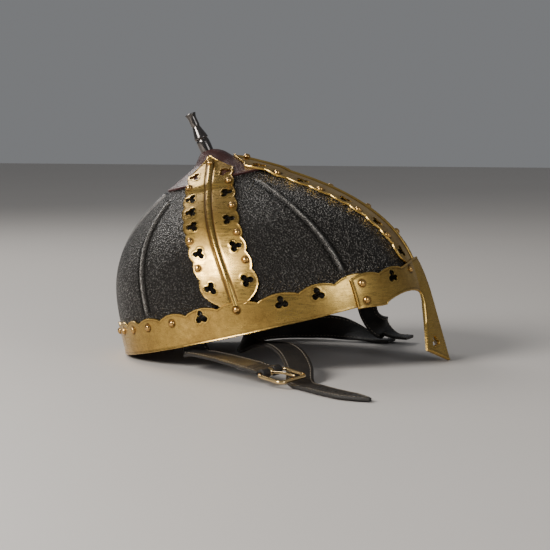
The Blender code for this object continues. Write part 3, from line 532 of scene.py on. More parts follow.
def use_group(tree, which, **links):
    """Group node with its inputs fed by name."""
    node = tree.nodes.new("ShaderNodeGroup")
    node.node_tree = which
    for key, value in links.items():
        feed(tree, node.inputs[key], value)
    return node


def value_of(tree, name):
    """Output of a node that reads one of the values put() stores on the points."""
    node = tree.nodes.new("ShaderNodeAttribute")
    node.attribute_name = name
    return node.outputs["Fac"]


def add_bump(tree, shader, height, strength, distance, under=None):
    """Bump node from a height socket to the shader's normal."""
    node = tree.nodes.new("ShaderNodeBump")
    node.inputs["Strength"].default_value = strength
    node.inputs["Distance"].default_value = distance
    tree.links.new(height, node.inputs["Height"])
    if under is not None:
        tree.links.new(under, node.inputs["Normal"])
    tree.links.new(node.outputs["Normal"], shader.inputs["Normal"])
    return node.outputs["Normal"]


def material(name):
    """Material by name, made the first time it is asked for."""
    return bpy.data.materials.get(name) or MAKERS[name](name)


def brass_look(name, bright=None, patina=None, amount=0.55, smooth=0.0):
    """Antique brass: metal whose colour and gloss follow the worn group and the edge values; the
    values on the points carry painted highlights and painted shade as well as wear.
    """
    mat, tree, shader, v = start_material(name)
    worn_and_lit = use_group(tree, shared("Worn brass and painted light", patina_group), Vector=v,
                     Bright=bright or tuple(colours().brass),
                     Patina=patina or tuple(colours().patina),
                     Edge=value_of(tree, "edge"), Grime=value_of(tree, "grime_and_shade"), Amount=amount)
    tree.links.new(worn_and_lit.outputs["Colour"], shader.inputs["Base Color"])
    rough = maths(tree, "SUBTRACT", worn_and_lit.outputs["Roughness"], smooth)
    tree.links.new(rough, shader.inputs["Roughness"])
    shader.inputs["Metallic"].default_value = 1.0
    waves = texture(tree, "ShaderNodeTexNoise", v, 30.0, Detail=2.0)
    low = add_bump(tree, shader, waves.outputs["Fac"], 0.35, 0.0025)
    add_bump(tree, shader, worn_and_lit.outputs["Height"], 0.20, 0.00022, under=low)
    return mat


def steel_look(name):
    """Blackened pebbled steel, lighter on the pebble tops as a painted highlight; ribs and plate
    edges are smoother and carry a painted highlight.
    """
    mat, tree, shader, v = start_material(name)
    c = colours()
    pebble = use_group(tree, shared("Pebble", pebble_group), Vector=v, Scale=620.0)
    rib, groove = value_of(tree, "edge"), value_of(tree, "grime_and_shade")
    cloud = texture(tree, "ShaderNodeTexNoise", v, 22.0, Detail=5.0, Roughness=0.6)
    # Lighter on the pebble tops: painted highlight over the black scale of the low spots.
    tone = maths(tree, "MULTIPLY", pebble.outputs["Mask"],
                 span(tree, cloud.outputs["Fac"], 0.3, 0.7, 0.65, 1.1), clamp=True)
    # Darker in the rib grooves and under the bands: painted shade.
    tone = maths(tree, "MULTIPLY", tone, maths(tree, "SUBTRACT", 1.0, groove), clamp=True)
    # Lighter on the rib crests and the rim: painted highlight.
    tone = maths(tree, "MAXIMUM", tone, maths(tree, "MULTIPLY", rib, 0.8), clamp=True)
    colour = blend_colour(tree, tone, tuple(c.scale), tuple(c.steel))
    # Near black for the painted shade in the grooves and under the bands.
    colour = blend_colour(tree, groove, colour, (0.006, 0.005, 0.004))
    tree.links.new(colour, shader.inputs["Base Color"])
    rough = maths(tree, "SUBTRACT", span(tree, pebble.outputs["Mask"], 0, 1, 0.42, 0.26),
                  maths(tree, "MULTIPLY", rib, 0.10))
    tree.links.new(rough, shader.inputs["Roughness"])
    shader.inputs["Metallic"].default_value = 0.8
    height = maths(tree, "MULTIPLY", pebble.outputs["Height"],
                   maths(tree, "SUBTRACT", 1.0, maths(tree, "MULTIPLY", rib, 0.7)))
    add_bump(tree, shader, height, 1.0, 0.0019)
    return mat


def plain_look(name, colour, roughness, metallic=1.0, depth=0.0002, spread=0.35):
    """Plain metal: brushed noise in colour and gloss with fine scratches."""
    mat, tree, shader, v = start_material(name)
    cloud = texture(tree, "ShaderNodeTexNoise", v, 90.0, Detail=6.0, Roughness=0.65)
    fine = texture(tree, "ShaderNodeTexNoise", v, 1400.0, Detail=4.0, Roughness=0.6)
    dark = tuple(k * (1 - spread) for k in colour)
    tone = maths(tree, "ADD", span(tree, cloud.outputs["Fac"], 0.35, 0.65),
                 span(tree, fine.outputs["Fac"], 0.35, 0.65, -0.2, 0.2), clamp=True)
    # Darker where the darkening value is high: painted shade in grooves and under parts.
    tone = maths(tree, "SUBTRACT", tone, value_of(tree, "grime_and_shade"), clamp=True)
    tree.links.new(blend_colour(tree, tone, dark, colour), shader.inputs["Base Color"])
    tree.links.new(span(tree, fine.outputs["Fac"], 0.3, 0.7, roughness - 0.05, roughness + 0.09),
                   shader.inputs["Roughness"])
    shader.inputs["Metallic"].default_value = metallic
    add_bump(tree, shader, fine.outputs["Fac"], 0.25, depth)
    return mat


def cap_look(name):
    """Maroon baked finish with a fine grain and a satin gloss, lighter on the grain's tops and
    along the lower edge as a painted highlight.
    """
    mat, tree, shader, v = start_material(name)
    base = np.array(colours().cap)
    pebble = use_group(tree, shared("Pebble", pebble_group), Vector=v, Scale=1500.0)
    cloud = texture(tree, "ShaderNodeTexNoise", v, 60.0, Detail=4.0)
    tone = maths(tree, "ADD", maths(tree, "MULTIPLY", pebble.outputs["Mask"], 0.7),
                 span(tree, cloud.outputs["Fac"], 0.35, 0.65, -0.15, 0.3), clamp=True)
    # Painted highlight line along the cap's lower edge.
    tone = maths(tree, "MAXIMUM", tone, value_of(tree, "edge"), clamp=True)
    tree.links.new(blend_colour(tree, tone, tuple(base * 0.5), tuple(base * 1.7)),
                   shader.inputs["Base Color"])
    tree.links.new(span(tree, pebble.outputs["Mask"], 0, 1, 0.46, 0.34),
                   shader.inputs["Roughness"])
    shader.inputs["Metallic"].default_value = 0.15
    shader.inputs["Coat Weight"].default_value = 0.08
    shader.inputs["Coat Roughness"].default_value = 0.28
    add_bump(tree, shader, pebble.outputs["Height"], 0.5, 0.0003)
    return mat


def leather_look(name, colour, scale, roughness, lift):
    """Leather: dark creases, rubbed high spots and paler cut edges, with a painted highlight on the
    punched holes' rings and painted shade in the holes and slots.
    """
    mat, tree, shader, v = start_material(name)
    base = np.array(colour)
    hide = use_group(tree, shared("Leather grain", hide_group), Vector=v, Scale=scale)
    edge, grime_and_shade = value_of(tree, "edge"), value_of(tree, "grime_and_shade")
    tone = maths(tree, "MULTIPLY", hide.outputs["Wear"], 0.75)
    tone = maths(tree, "ADD", tone, maths(tree, "MULTIPLY", edge, 0.8), clamp=True)
    bright = tuple(np.clip(base * lift, 0, 1))
    body = blend_colour(tree, tone, tuple(base), bright)
    crease = maths(tree, "MULTIPLY", maths(tree, "SUBTRACT", 1.0, hide.outputs["Grain"]), 0.55)
    crease = maths(tree, "MAXIMUM", crease, maths(tree, "MULTIPLY", grime_and_shade, 0.85), clamp=True)
    tree.links.new(blend_colour(tree, crease, body, tuple(base * 0.3)),
                   shader.inputs["Base Color"])
    tree.links.new(span(tree, hide.outputs["Wear"], 0, 1, roughness + 0.08, roughness - 0.08),
                   shader.inputs["Roughness"])
    shader.inputs["Specular IOR Level"].default_value = 0.3
    add_bump(tree, shader, hide.outputs["Height"], 0.5, 0.0004)
    return mat


def thread_look(name, colour):
    """Waxed thread: twisted strands as fine slanting bands."""
    mat, tree, shader, v = start_material(name)
    twist = texture(tree, "ShaderNodeTexWave", v, 900.0, Distortion=1.0)
    noise = texture(tree, "ShaderNodeTexNoise", v, 300.0, Detail=2.0)
    tone = maths(tree, "MULTIPLY", twist.outputs["Fac"],
                 span(tree, noise.outputs["Fac"], 0.3, 0.7, 0.6, 1.0))
    dark = tuple(k * 0.45 for k in colour)
    tree.links.new(blend_colour(tree, tone, dark, colour), shader.inputs["Base Color"])
    shader.inputs["Roughness"].default_value = 0.6
    add_bump(tree, shader, twist.outputs["Fac"], 0.3, 0.0001)
    return mat


def floor_look(name):
    """Pale matt floor with a faint cloud in it."""
    mat, tree, shader, v = start_material(name)
    base = np.array(bpy.context.scene.helmet_stage.floor)
    cloud = texture(tree, "ShaderNodeTexNoise", v, 3.0, Detail=3.0)
    tree.links.new(blend_colour(tree, cloud.outputs["Fac"], tuple(base * 0.97), tuple(base * 1.03)),
                   shader.inputs["Base Color"])
    shader.inputs["Roughness"].default_value = 0.55
    return mat


MAKERS = {
    "antique brass": lambda n: brass_look(n),
    "dull brass": lambda n: brass_look(n, amount=0.8),
    "rivet brass": lambda n: brass_look(n, bright=(0.60, 0.36, 0.12), amount=0.45, smooth=0.06),
    "buckle brass": lambda n: brass_look(n, bright=(0.80, 0.58, 0.28), patina=(0.36, 0.20, 0.07),
                                         amount=0.35, smooth=0.08),
    "pebbled steel": steel_look,
    "plain steel": lambda n: plain_look(n, (0.34, 0.33, 0.32), 0.34),
    "dark polished steel": lambda n: plain_look(n, (0.17, 0.155, 0.145), 0.17, depth=0.00008),
    "maroon cap": cap_look,
    "black leather": lambda n: leather_look(n, tuple(colours().strap), 900.0, 0.50, 2.2),
    "lining leather": lambda n: leather_look(n, tuple(colours().lining), 700.0, 0.62, 1.5),
    "black thread": lambda n: thread_look(n, (0.24, 0.20, 0.15)),
    "tan thread": lambda n: thread_look(n, (0.30, 0.22, 0.14)),
    "pale floor": floor_look,
}


# ================================================================ small shapes


def turned(rings, sides, axes, origin):
    """Surface of revolution: a (radius, height) profile turned about the third axis."""
    r, h = np.array(rings, float).T
    a = 2 * np.pi * np.arange(sides) / sides
    local = np.stack([r[:, None] * np.cos(a), r[:, None] * np.sin(a), h[:, None] + 0 * a], -1)
    return local @ axes + origin


def frame_on(normal):
    """Three unit vectors as rows, the last one along the normal."""
    z = normal / np.linalg.norm(normal)
    x = np.cross([0.0, 0.0, 1.0] if abs(z[2]) < 0.9 else [1.0, 0.0, 0.0], z)
    x /= np.linalg.norm(x)
    return np.stack([x, np.cross(z, x), z])


RIVET_RINGS = [(0.02, -0.10), (1.0, -0.10), (1.0, 0.10), (0.93, 0.22), (0.84, 0.42),
               (0.68, 0.60), (0.46, 0.72), (0.23, 0.78), (0.02, 0.79)]


def rivet_mesh(spots, radius):
    """Domed heads at (point, normal) spots: one turned profile carried to every spot."""
    points, faces, edge, grime_and_shade = [], [], [], []
    rings = np.array(RIVET_RINGS) * radius
    sides = 20
    for k, (point, normal) in enumerate(spots):
        points.append(turned(rings, sides, frame_on(normal), point).reshape(-1, 3))
        base = k * len(rings) * sides
        faces.append(grid_faces(len(rings), sides, round_cols=True) + base)
        faces += [f + base for f in lids(sides, (len(rings) - 1) * sides)]
        up = np.repeat(np.linspace(0, 1, len(rings)), sides)
        # Painted highlight towards the dome's top and painted shade round its foot.
        edge.append(0.55 * up ** 2)
        grime_and_shade.append(0.8 * (1 - up) ** 5)
    return (np.concatenate(points), faces,
            {"edge": np.concatenate(edge), "grime_and_shade": np.concatenate(grime_and_shade)})


def rivets_at(name, spots, radius, nodes=(), look="rivet brass"):
    """One object holding a rivet head at every spot."""
    points, faces, values = rivet_mesh(spots, radius)
    return put(name, points, faces, material(look), nodes=nodes, values=values, sharp=50)


def spot_on(angle, z, lift):
    """Point and outward normal at a lift above the skull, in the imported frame."""
    point = place(skull(np.array(angle), np.array(z), np.array(lift)))
    above = place(skull(np.array(angle), np.array(z), np.array(lift) + MM))
    return point, above - point


def pipe(path, radius, sides=12, closed=False, normal=None):
    """Round wire: a circle in the plane across the path's heading at every point."""
    path = np.asarray(path, float)
    if closed:
        heading = np.roll(path, -1, 0) - np.roll(path, 1, 0)
    else:
        heading = np.gradient(path, axis=0)
    heading = unit(heading)
    flat = np.linalg.svd(path - path.mean(0))[2][2] if normal is None else np.array(normal)
    side = unit(np.cross(heading, flat))
    up = np.cross(side, heading)
    turn = 2 * np.pi * np.arange(sides) / sides
    ring = (np.cos(turn)[None, :, None] * side[:, None, :]
            + np.sin(turn)[None, :, None] * up[:, None, :])
    radius = np.broadcast_to(radius, len(path))[:, None, None]
    points = path[:, None, :] + radius * ring
    faces = [grid_faces(len(path), sides, round_cols=True, round_rows=closed)[:, ::-1]]
    if not closed:
        faces += [f[:, ::-1] for f in lids(sides, (len(path) - 1) * sides)]
    return points.reshape(-1, 3), faces


# ================================================================ skull, cap, plume holder


class HELMET_OT_skull(Operator):
    """Four pebbled skull plates with an embossed rib in the middle of each"""
    bl_idname = "helmet.skull"
    bl_label = "Skull plates"

    def execute(self, context):
        plates = (("skull_plate_front_left", 0, 90, RIB),
                  ("skull_plate_rear_left", 90, 180, REAR_RIB),
                  ("skull_plate_rear_right", 180, 270, 360 - REAR_RIB),
                  ("skull_plate_front_right", 270, 360, 360 - RIB))
        for name, start, end, rib in plates:
            self.plate(name, start, end, rib)
        return {"FINISHED"}

    def plate(self, name, start, end, rib):
        """Rows of the oval at even heights; the lift is a rounded rib between two grooves."""
        rows = np.concatenate([np.linspace(0, 0.86 * SKULL_TOP, 60),
                               np.linspace(0.86 * SKULL_TOP, SKULL_TOP, 14)[1:]])
        share = np.linspace(0, 1, 130)
        middle = (rib - start) / (end - start)
        share = np.sort(np.concatenate([share, middle + np.linspace(-0.055, 0.055, 31)]))
        inset = degrees_for(0.2 * MM, np.array(float(start)), rows)[:, None]
        angles = start + inset + (end - start - 2 * inset) * share[None, :]
        z = over_eyes(np.repeat(rows[:, None], angles.shape[1], 1), angles)
        off = (angles - rib) / degrees_for(1 * MM, np.full(1, float(rib)), rows)[:, None] * MM
        fade = ease(z, 25 * MM, 32 * MM) * (1 - ease(z, CAP_EDGE - 10 * MM, CAP_EDGE - 3 * MM))
        bead, dip = hill(off, 1.5 * MM), hill(np.abs(off) - 3.7 * MM, 1.2 * MM)
        lift = (sizes().rib * bead - 0.45 * MM * dip) * fade
        outer = place(skull(angles, z, lift))
        inner = place(skull(angles, z, lift - WALL))
        points, faces = thick(outer, inner, [grid_faces(*angles.shape)])
        low = hill(z, 1.5 * MM)
        # Painted shade: near black where the bands cover the plate, seen through their holes.
        shade_under_bands = 1 - ease(z, 17.5 * MM, 19.5 * MM)
        for middle, half in ((0, 21 * MM), (90, 18.5 * MM), (270, 18.5 * MM), (360, 21 * MM)):
            over = np.abs(angles - middle) / degrees_for(1.0, np.full(1, float(middle)), z)
            shade_under_bands = np.maximum(shade_under_bands, 1 - ease(over, half - 2 * MM, half))
        # The edge value is a painted highlight on the rib's crest and the rim; the darkening value
        # is painted shade in the grooves and under the bands.
        values = twice({"edge": np.maximum(bead * fade, low),
                        "grime_and_shade": np.maximum(0.75 * dip * fade, shade_under_bands)})
        put(name, points, faces, material("pebbled steel"), nodes=[name],
            values=values)


class HELMET_OT_back_strip(Operator):
    """Plain steel strip over the rear joint, ending at the cap and the brow band"""
    bl_idname = "helmet.back_strip"
    bl_label = "Back strip"

    def execute(self, context):
        low, high, half_width = 25.6 * MM, 113.4 * MM, 4.5 * MM
        rows, across = np.linspace(low, high, 80), np.linspace(-1, 1, 25)
        half = degrees_for(half_width, np.full(len(rows), 180.0), rows)
        angles = 180 + half[:, None] * across[None, :]
        z = np.repeat(rows[:, None], len(across), 1)
        ridge = 1.0 * MM * (1 - across ** 2)[None, :] - 0.35 * MM * hill(np.abs(across) - 0.62, 0.1)
        points, faces = thick(place(skull(angles, z, FIT + SHEET + ridge)),
                              place(skull(angles, z, FIT + 0 * z)), [grid_faces(*z.shape)])
        edge = np.maximum(hill(1 - np.abs(across), 0.15), hill(across, 0.2))[None, :] + 0 * z
        # Painted shade in the grooves beside the ridge.
        dirt_and_shade = 0.6 * hill(np.abs(across) - 0.62, 0.12)[None, :] + 0 * z
        put("back_strip", points, faces, material("plain steel"), nodes=["back_strip"],
            values=twice({"edge": edge, "grime_and_shade": dirt_and_shade}))
        return {"FINISHED"}


class HELMET_OT_cap(Operator):
    """Maroon cap over the crown, its edge slightly raised"""
    bl_idname = "helmet.cap"
    bl_label = "Crown cap"

    def execute(self, context):
        angles = np.linspace(0, 360, 181)[:-1]
        levels = CAP_EDGE + (SKULL_TOP + 2.5 * MM - CAP_EDGE) * np.linspace(0, 1, 26) ** 1.15
        a, z = np.meshgrid(angles, levels)
        lip = 0.35 * MM * hill(z - CAP_EDGE - 0.6 * MM, 0.8 * MM)
        swell = crown_swell(z)
        outer, inner = skull(a, z, FIT + SHEET + lip + swell), skull(a, z, FIT + swell)
        turn = np.radians(angles)
        last = outer[-1]
        radius = 3.4 * MM
        hole = np.stack([-CROWN_BACK + radius * np.cos(turn), radius * np.sin(turn),
                         CROWN_TOP + 0 * turn], -1)
        for share in np.linspace(0.08, 1, 14):
            ring = last * (1 - share) + hole * share
            ring[:, 2] = last[:, 2] + (CROWN_TOP - last[:, 2]) * math.sin(share * math.pi / 2)
            outer = np.concatenate([outer, ring[None]])
            inner = np.concatenate([inner, ring[None] - [0, 0, SHEET]])
        faces = [grid_faces(len(outer), len(angles), round_cols=True)]
        points, faces = thick(place(outer), place(inner), faces)
        # Painted highlight: a light line along the cap's lower edge.
        edge = np.zeros(outer.shape[:2])
        edge[:len(levels)] = 0.7 * hill(z - CAP_EDGE, 0.8 * MM)
        put("apex_cap", points, faces, material("maroon cap"), nodes=["apex_cap"],
            values=twice({"edge": edge}))
        return {"FINISHED"}


class HELMET_OT_plume_holder(Operator):
    """Turned plume holder leaning back: foot, collar, waist, collar and an open flared socket"""
    bl_idname = "helmet.plume_holder"
    bl_label = "Plume holder"

    def execute(self, context):
        lean = math.radians(12)
        mm = [(0.05, -9.0), (2.6, -9.0), (2.6, 3.0), (4.8, 3.0), (5.0, 4.6), (5.15, 8.0),
              (5.1, 11.5), (4.9, 13.2), (4.55, 13.6), (4.5, 13.9), (4.75, 14.2), (5.3, 14.5),
              (5.4, 15.0), (5.25, 15.8), (4.9, 17.4), (4.4, 19.4), (3.8, 21.6), (3.35, 23.4),
              (3.15, 24.4), (2.95, 24.7), (2.95, 25.1), (3.2, 25.4), (3.35, 26.2), (3.35, 28.0),
              (3.3, 31.0), (3.45, 32.8), (3.85, 34.2), (4.25, 35.0), (4.35, 35.4), (4.2, 35.7),
              (2.6, 35.7), (2.3, 35.4), (2.3, 18.8), (2.1, 18.6), (0.05, 18.6)]
        c, s = math.cos(lean), math.sin(lean)
        axes = np.array([[c, 0, s], [0, 1, 0], [-s, 0, c]])
        origin = np.array([-CROWN_BACK, 0, CAP_TOP + FIT])
        sides = 48
        points = place(turned(np.array(mm) * MM, sides, axes, origin))
        faces = [grid_faces(len(mm), sides, round_cols=True)]
        faces += lids(sides, (len(mm) - 1) * sides)
        low = np.array([h for _, h in mm])
        # Painted shade in the two grooves and on the pin and the underside of the base.
        dirt_and_shade = np.maximum(hill(low - 13.8, 0.35), hill(low - 24.9, 0.35)) + (low < 3.4)
        put("finial", points, faces, material("dark polished steel"), nodes=["finial"],
            values={"grime_and_shade": np.repeat(np.clip(dirt_and_shade, 0, 1), sides)},
            sharp=55)
        for node in ("crown_nut", "crown_washer"):
            part = frame["nodes"][node]
            part.data.materials.clear()
            part.data.materials.append(material("plain steel"))
        return {"FINISHED"}


# ================================================================ bands


def lip_and_drop(edge):
    """Raised lip beside a sheet's outline, and how far the outline itself is rounded down."""
    return (sizes().lip * hill(edge - 0.62 * MM, 0.45 * MM),
            0.35 * MM * np.clip(1 - edge / (0.5 * MM), 0, 1) ** 2)


def hole_lip(gap):
    """Raised lip round the holes of a sheet."""
    return 0.22 * MM * hill(gap - 0.35 * MM, 0.5 * MM)


def wear(edge, gap):
    """Darkening behind the lips of a sheet's outline and holes, and the brightening on top of them:
    rubbed wear with a painted highlight.
    """
    return (0.35 * hill(edge - 1.7 * MM, 0.5 * MM) + 0.3 * hill(gap - 1.1 * MM, 0.5 * MM),
            hill(edge - 0.45 * MM, 0.5 * MM) + hill(gap - 0.3 * MM, 0.4 * MM))


def rivet_shadow(away):
    """Painted shadow ring round a rivet, from the distance to its middle."""
    return 0.8 * hill(away - sizes().rivet - 0.2 * MM, 0.6 * MM)


def put_brass(name, points, faces, dirt_and_shade, rub):
    """Pierced brass sheet with its darkening, which the brightened places (rubbed wear with a
    painted highlight) are free of.
    """
    bright = np.clip(rub, 0, 1)
    put(name, points, faces, material("antique brass"), nodes=[name],
        values=twice({"edge": bright, "grime_and_shade": np.clip(dirt_and_shade, 0, 1) * (1 - bright)}))


# heights in millimetres of the lobes, the holes and the edge rivets
SIDE_FEATURES = (38, 53, 64, 74, 84, 94, 104, 111, 118)
SIDE_HOLES_REAR = (38, 64.2, 84.2, 94.7, 104.3, 118.9)
SIDE_RIVETS_REAR = (54, 74.2, 112)
SIDE_HOLES_FRONT = (38, 63.8, 83.7, 103.3, 117.9)
SIDE_RIVETS_FRONT = (52.5, 73.1, 93.2, 110.8)
FRONT_FEATURES = (30.9, 44.9, 56.3, 68.4, 78, 89.7, 99, 108.9, 116.8)


class Band:
    """Upright band: rows at even steps along the meridian, columns across from edge to edge.

    The half width is a scalloped line that closes to a blunt point at the foot and a sharp one
    at the top; the lift is the sheet, a bead down the middle and a lip along the outline.
    """

    def __init__(self, middle, low, width, top_width, features, high):
        self.middle = float(middle)
        fine = np.linspace(low, high, 900)
        line = bare(self.middle, fine)
        run = run_along(line)
        self.fine, self.run = fine, run
        features = np.array(features) * MM
        walls = (features[1:] + features[:-1]) / 2
        bounds = np.concatenate([[features[0] - 6.5 * MM], walls, [features[-1] + 4.5 * MM]])
        body = width + (top_width - width) * ease(fine, 92 * MM, 122 * MM)
        body = body + lobes(fine, bounds, 0.0 * bounds - 0.8 * MM, 1.9 * MM)
        foot = np.clip((fine - (low - 3 * MM)) / (features[0] - 4 * MM - low + 3 * MM), 0, 1)
        shoulder = features[-1] + 2.5 * MM
        peak = np.clip((high - fine) / (high - shoulder), 0, 1)
        self.half = np.maximum(body * np.sin(foot * np.pi / 2) ** 0.8 * peak ** 0.85, 0.4 * MM)

    def z_at(self, v):
        """Height at a distance up the band."""
        return np.interp(v, self.run, self.fine)

    def v_at(self, z):
        """Distance up the band at a height."""
        return np.interp(z, self.fine, self.run)

    def lift(self, s, z, side):
        """Height of the band's face over the skull at s across and z up."""
        half = np.interp(z, self.fine, self.half)
        seat = FIT + (SHEET + FIT) * ease(z, CAP_EDGE - 8 * MM, CAP_EDGE - 3 * MM)
        seat = seat + crown_swell(z)
        bead = np.sqrt(np.clip(1 - (s / (1.75 * MM)) ** 2, 0, 1))
        fade = np.clip(half / (6 * MM), 0, 1)
        ridge = sizes().ridge * bead - 0.28 * MM * hill(np.abs(s) - 2.6 * MM, 0.6 * MM)
        edge = half - np.abs(s)
        lip = sizes().lip * hill(edge - 0.62 * MM, 0.45 * MM)
        drop = 0.45 * MM * np.clip(1 - edge / (0.45 * MM), 0, 1) ** 2
        return seat + side * (SHEET + ridge * fade + lip - drop), edge, bead * fade

    def spot(self, s, z):
        """Point and outward normal on the band's face, s across and z up."""
        deg = float(degrees_for(1.0, np.array(self.middle), np.array(z)))
        face = float(self.lift(np.array(s), np.array(z), 1.0)[0])
        return spot_on(self.middle + s * deg, z, face)


def build_band(name, band, holes, rivets, node_rivet, top_rivet):
    """Band with its holes, its edge rivets and the rivet at its top."""
    cell = sizes().cell
    v = np.linspace(0, band.run[-1], int(band.run[-1] / cell) + 1)
    z_row = band.z_at(v)
    half = np.interp(z_row, band.fine, band.half)
    core = np.minimum(3.6 * MM, 0.35 * half)
    inner = np.linspace(0, 1, 10)
    outer = np.linspace(0, 1, 32)[1:]
    one = np.concatenate([inner[None, :] * core[:, None],
                          core[:, None] + outer[None, :] * (half - core)[:, None]], 1)
    near = half[:, None] - np.array([0.5, 0.2])[None, :] * MM
    one[:, -3:-1] = np.maximum(near, one[:, -4:-3] + 1e-5)
    s = np.concatenate([-one[:, :0:-1], one], 1)
    vv = np.repeat(v[:, None], s.shape[1], 1)
    spots = [(x * MM, float(band.v_at(z * MM)), 0.0 if x > 0 else 180.0) for x, z in holes]
    s, vv, gap, snapped = pierce(s, vv, spots, sizes().lobe)
    z = band.z_at(vv)
    angle = band.middle + s * degrees_for(1.0, np.full(z.shape, band.middle), z)
    lift, edge, bead = band.lift(s, z, 1.0)
    lift = lift + hole_lip(gap)
    bottom = band.lift(s, z, 0.0)[0]
    points, faces = thick(place(skull(angle, z, lift)), place(skull(angle, z, bottom)),
                          keep_faces(*z.shape, gap, snapped))
    # Brighter on the lips, hole rims and the bead's crest: rubbed wear with a painted highlight;
    # darker behind the lips and in the grooves beside the bead.
    dirt_and_shade, rub = wear(edge, gap)
    dirt_and_shade = dirt_and_shade + 0.8 * hill(np.abs(s) - 2.6 * MM, 0.7 * MM)
    # Painted shadow rings round the edge rivets.
    for x, height in rivets:
        dirt_and_shade = dirt_and_shade + rivet_shadow(np.hypot(s - x * MM, vv - band.v_at(height * MM)))
    put_brass(name, points, faces, dirt_and_shade, rub + 0.8 * bead)
    rivets_at(name + "_edge_rivets", [band.spot(x * MM, z * MM) for x, z in rivets],
              sizes().rivet)
    rivets_at(node_rivet + "_head", [band.spot(0.0, top_rivet)], sizes().rivet,
              nodes=[node_rivet])


class HELMET_OT_side_bands(Operator):
    """Brass band over each side joint, pierced with trefoils and riveted along its edges"""
    bl_idname = "helmet.side_bands"
    bl_label = "Side bands"

    def execute(self, context):
        for side, middle, rear in (("right", -90, -1), ("left", 90, 1)):
            band = Band(middle, 22 * MM, 21.3 * MM, 17.6 * MM, SIDE_FEATURES, 131 * MM)
            holes, rivets = [], []
            for way, hole_list, rivet_list in ((rear, SIDE_HOLES_REAR, SIDE_RIVETS_REAR),
                                               (-rear, SIDE_HOLES_FRONT, SIDE_RIVETS_FRONT)):
                # both lists move inwards where the band narrows towards its top
                holes += [(way * 14.0 * (0.86 if z > 112 else 1.0), z) for z in hole_list]
                rivets += [(way * (18.3 if z < 100 else 16), z) for z in rivet_list]
            build_band(f"side_band_{side}", band, holes, rivets, f"side_band_rivet_{side}",
                       126.3 * MM)
        return {"FINISHED"}


class HELMET_OT_front_band(Operator):
    """Brass band up the middle of the brow"""
    bl_idname = "helmet.front_band"
    bl_label = "Front band"

    def execute(self, context):
        band = Band(0, 18 * MM, 23.4 * MM, 19.0 * MM, FRONT_FEATURES, 129 * MM)
        holes = [(s * (14.5 if z > 110 else 17.3), z) for s in (-1, 1)
                 for z in (30.9, 56.3, 78, 99, 116.8)]
        rivets = [(s * (17.5 if z > 105 else 20.5), z) for s in (-1, 1)
                  for z in (44.9, 68.4, 89.7, 108.9)]
        build_band("front_band", band, holes, rivets, "front_band_rivet", 124.5 * MM)
        return {"FINISHED"}


# angles of the valleys, the holes (with heights in millimetres) and the rivets of one side
BROW_BOUNDS = (37.6, 53, 67, 82, 97, 110, 122.5, 135.9, 146.5, 157.5, 168.5, 191.5)
BROW_HOLES = ((60.3, 16.6), (73.9, 16.8), (103.8, 18.8))
BROW_RIVETS, BROW_RIVET_HEIGHT = (90, 116.8, 130, 141.2, 152, 163), 18.8 * MM


def brow_top(angle):
    """Top edge of the brow band: lobes between valleys, the same on both sides."""
    off = np.where(angle > 191.5, 360 - angle, angle)
    low = np.full(len(BROW_BOUNDS), 22.3 * MM)
    low[:4] = (21.5 * MM, 20.8 * MM, 20.6 * MM, 20.8 * MM)
    return lobes(off, BROW_BOUNDS, low, 3.6 * MM)


class HELMET_OT_brow_band(Operator):
    """Scalloped brass brow band round the sides and back, with its rivets"""
    bl_idname = "helmet.brow_band"
    bl_label = "Brow band"

    def execute(self, context):
        cell = sizes().cell * 1.25
        fine = np.linspace(37.6, 322.4, 2000)
        line = bare(fine, 12 * MM + 0 * fine)
        run = run_along(line)
        s_row = np.linspace(0, run[-1], int(run[-1] / cell) + 1)
        top = brow_top(np.interp(s_row, run, fine))
        level = np.linspace(0, 1, 33)
        level = np.sort(np.concatenate([level, [0.008, 0.02, 0.98, 0.992]]))
        s = np.repeat(s_row[None, :], len(level), 0)
        z = level[:, None] * top[None, :]

        def where(a):
            """Distance round the band at an angle."""
            return float(np.interp(a, fine, run))

        holes = [(where(a), h * MM, 90.0) for b, h in BROW_HOLES for a in (b, 360 - b)]
        s, z, gap, snapped = pierce(s, z, holes, sizes().lobe)
        angle = np.interp(s, run, fine)
        edge = np.minimum(brow_top(angle) - z, z + 0.15 * MM)
        lip, drop = lip_and_drop(edge)
        tuck = 1 - ease(np.abs(angle - 180), 180 - SEAM - 1.5, 180 - SEAM - 0.5)
        rim = (lip + hole_lip(gap)) * tuck - drop
        points, faces = thick(place(skull(angle, z, FIT + SHEET + rim)),
                              place(skull(angle, z, FIT + 0 * z)),
                              keep_faces(*z.shape, gap, snapped))
        # Brighter on the lips and hole rims: rubbed wear with a painted highlight; darker behind
        # them.
        dirt_and_shade, rub = wear(edge, gap)
        # Painted shadow rings round the brow rivets.
        for a in [a for b in BROW_RIVETS for a in (b, 360 - b)] + [180]:
            dirt_and_shade = dirt_and_shade + rivet_shadow(np.hypot(s - where(a), z - BROW_RIVET_HEIGHT))
        put_brass("brow_band", points, faces, dirt_and_shade, rub)
        heads = [(f"brow_rivet_{side}_{k}", sign * a) for side, sign in (("right", -1), ("left", 1))
                 for k, a in enumerate(BROW_RIVETS, 1)]
        for node, a in heads + [("brow_rivet_back", 180)]:
            rivets_at(node + "_head", [spot_on(a, BROW_RIVET_HEIGHT, FIT + SHEET)],
                      sizes().rivet, nodes=[node])
        return {"FINISHED"}


# ================================================================ face plate and nose guard


FACE_BOUNDS = np.array((-46.7, -32.8, -18.4, 18.4, 32.8, 46.7))
# angle, height in millimetres and size of each rivet
FACE_RIVETS = (("upper", 42.2, 16.4, 1.08), ("lower", 42.2, 3.9, 1.0), ("front", 11.4, 16.4, 0.9))


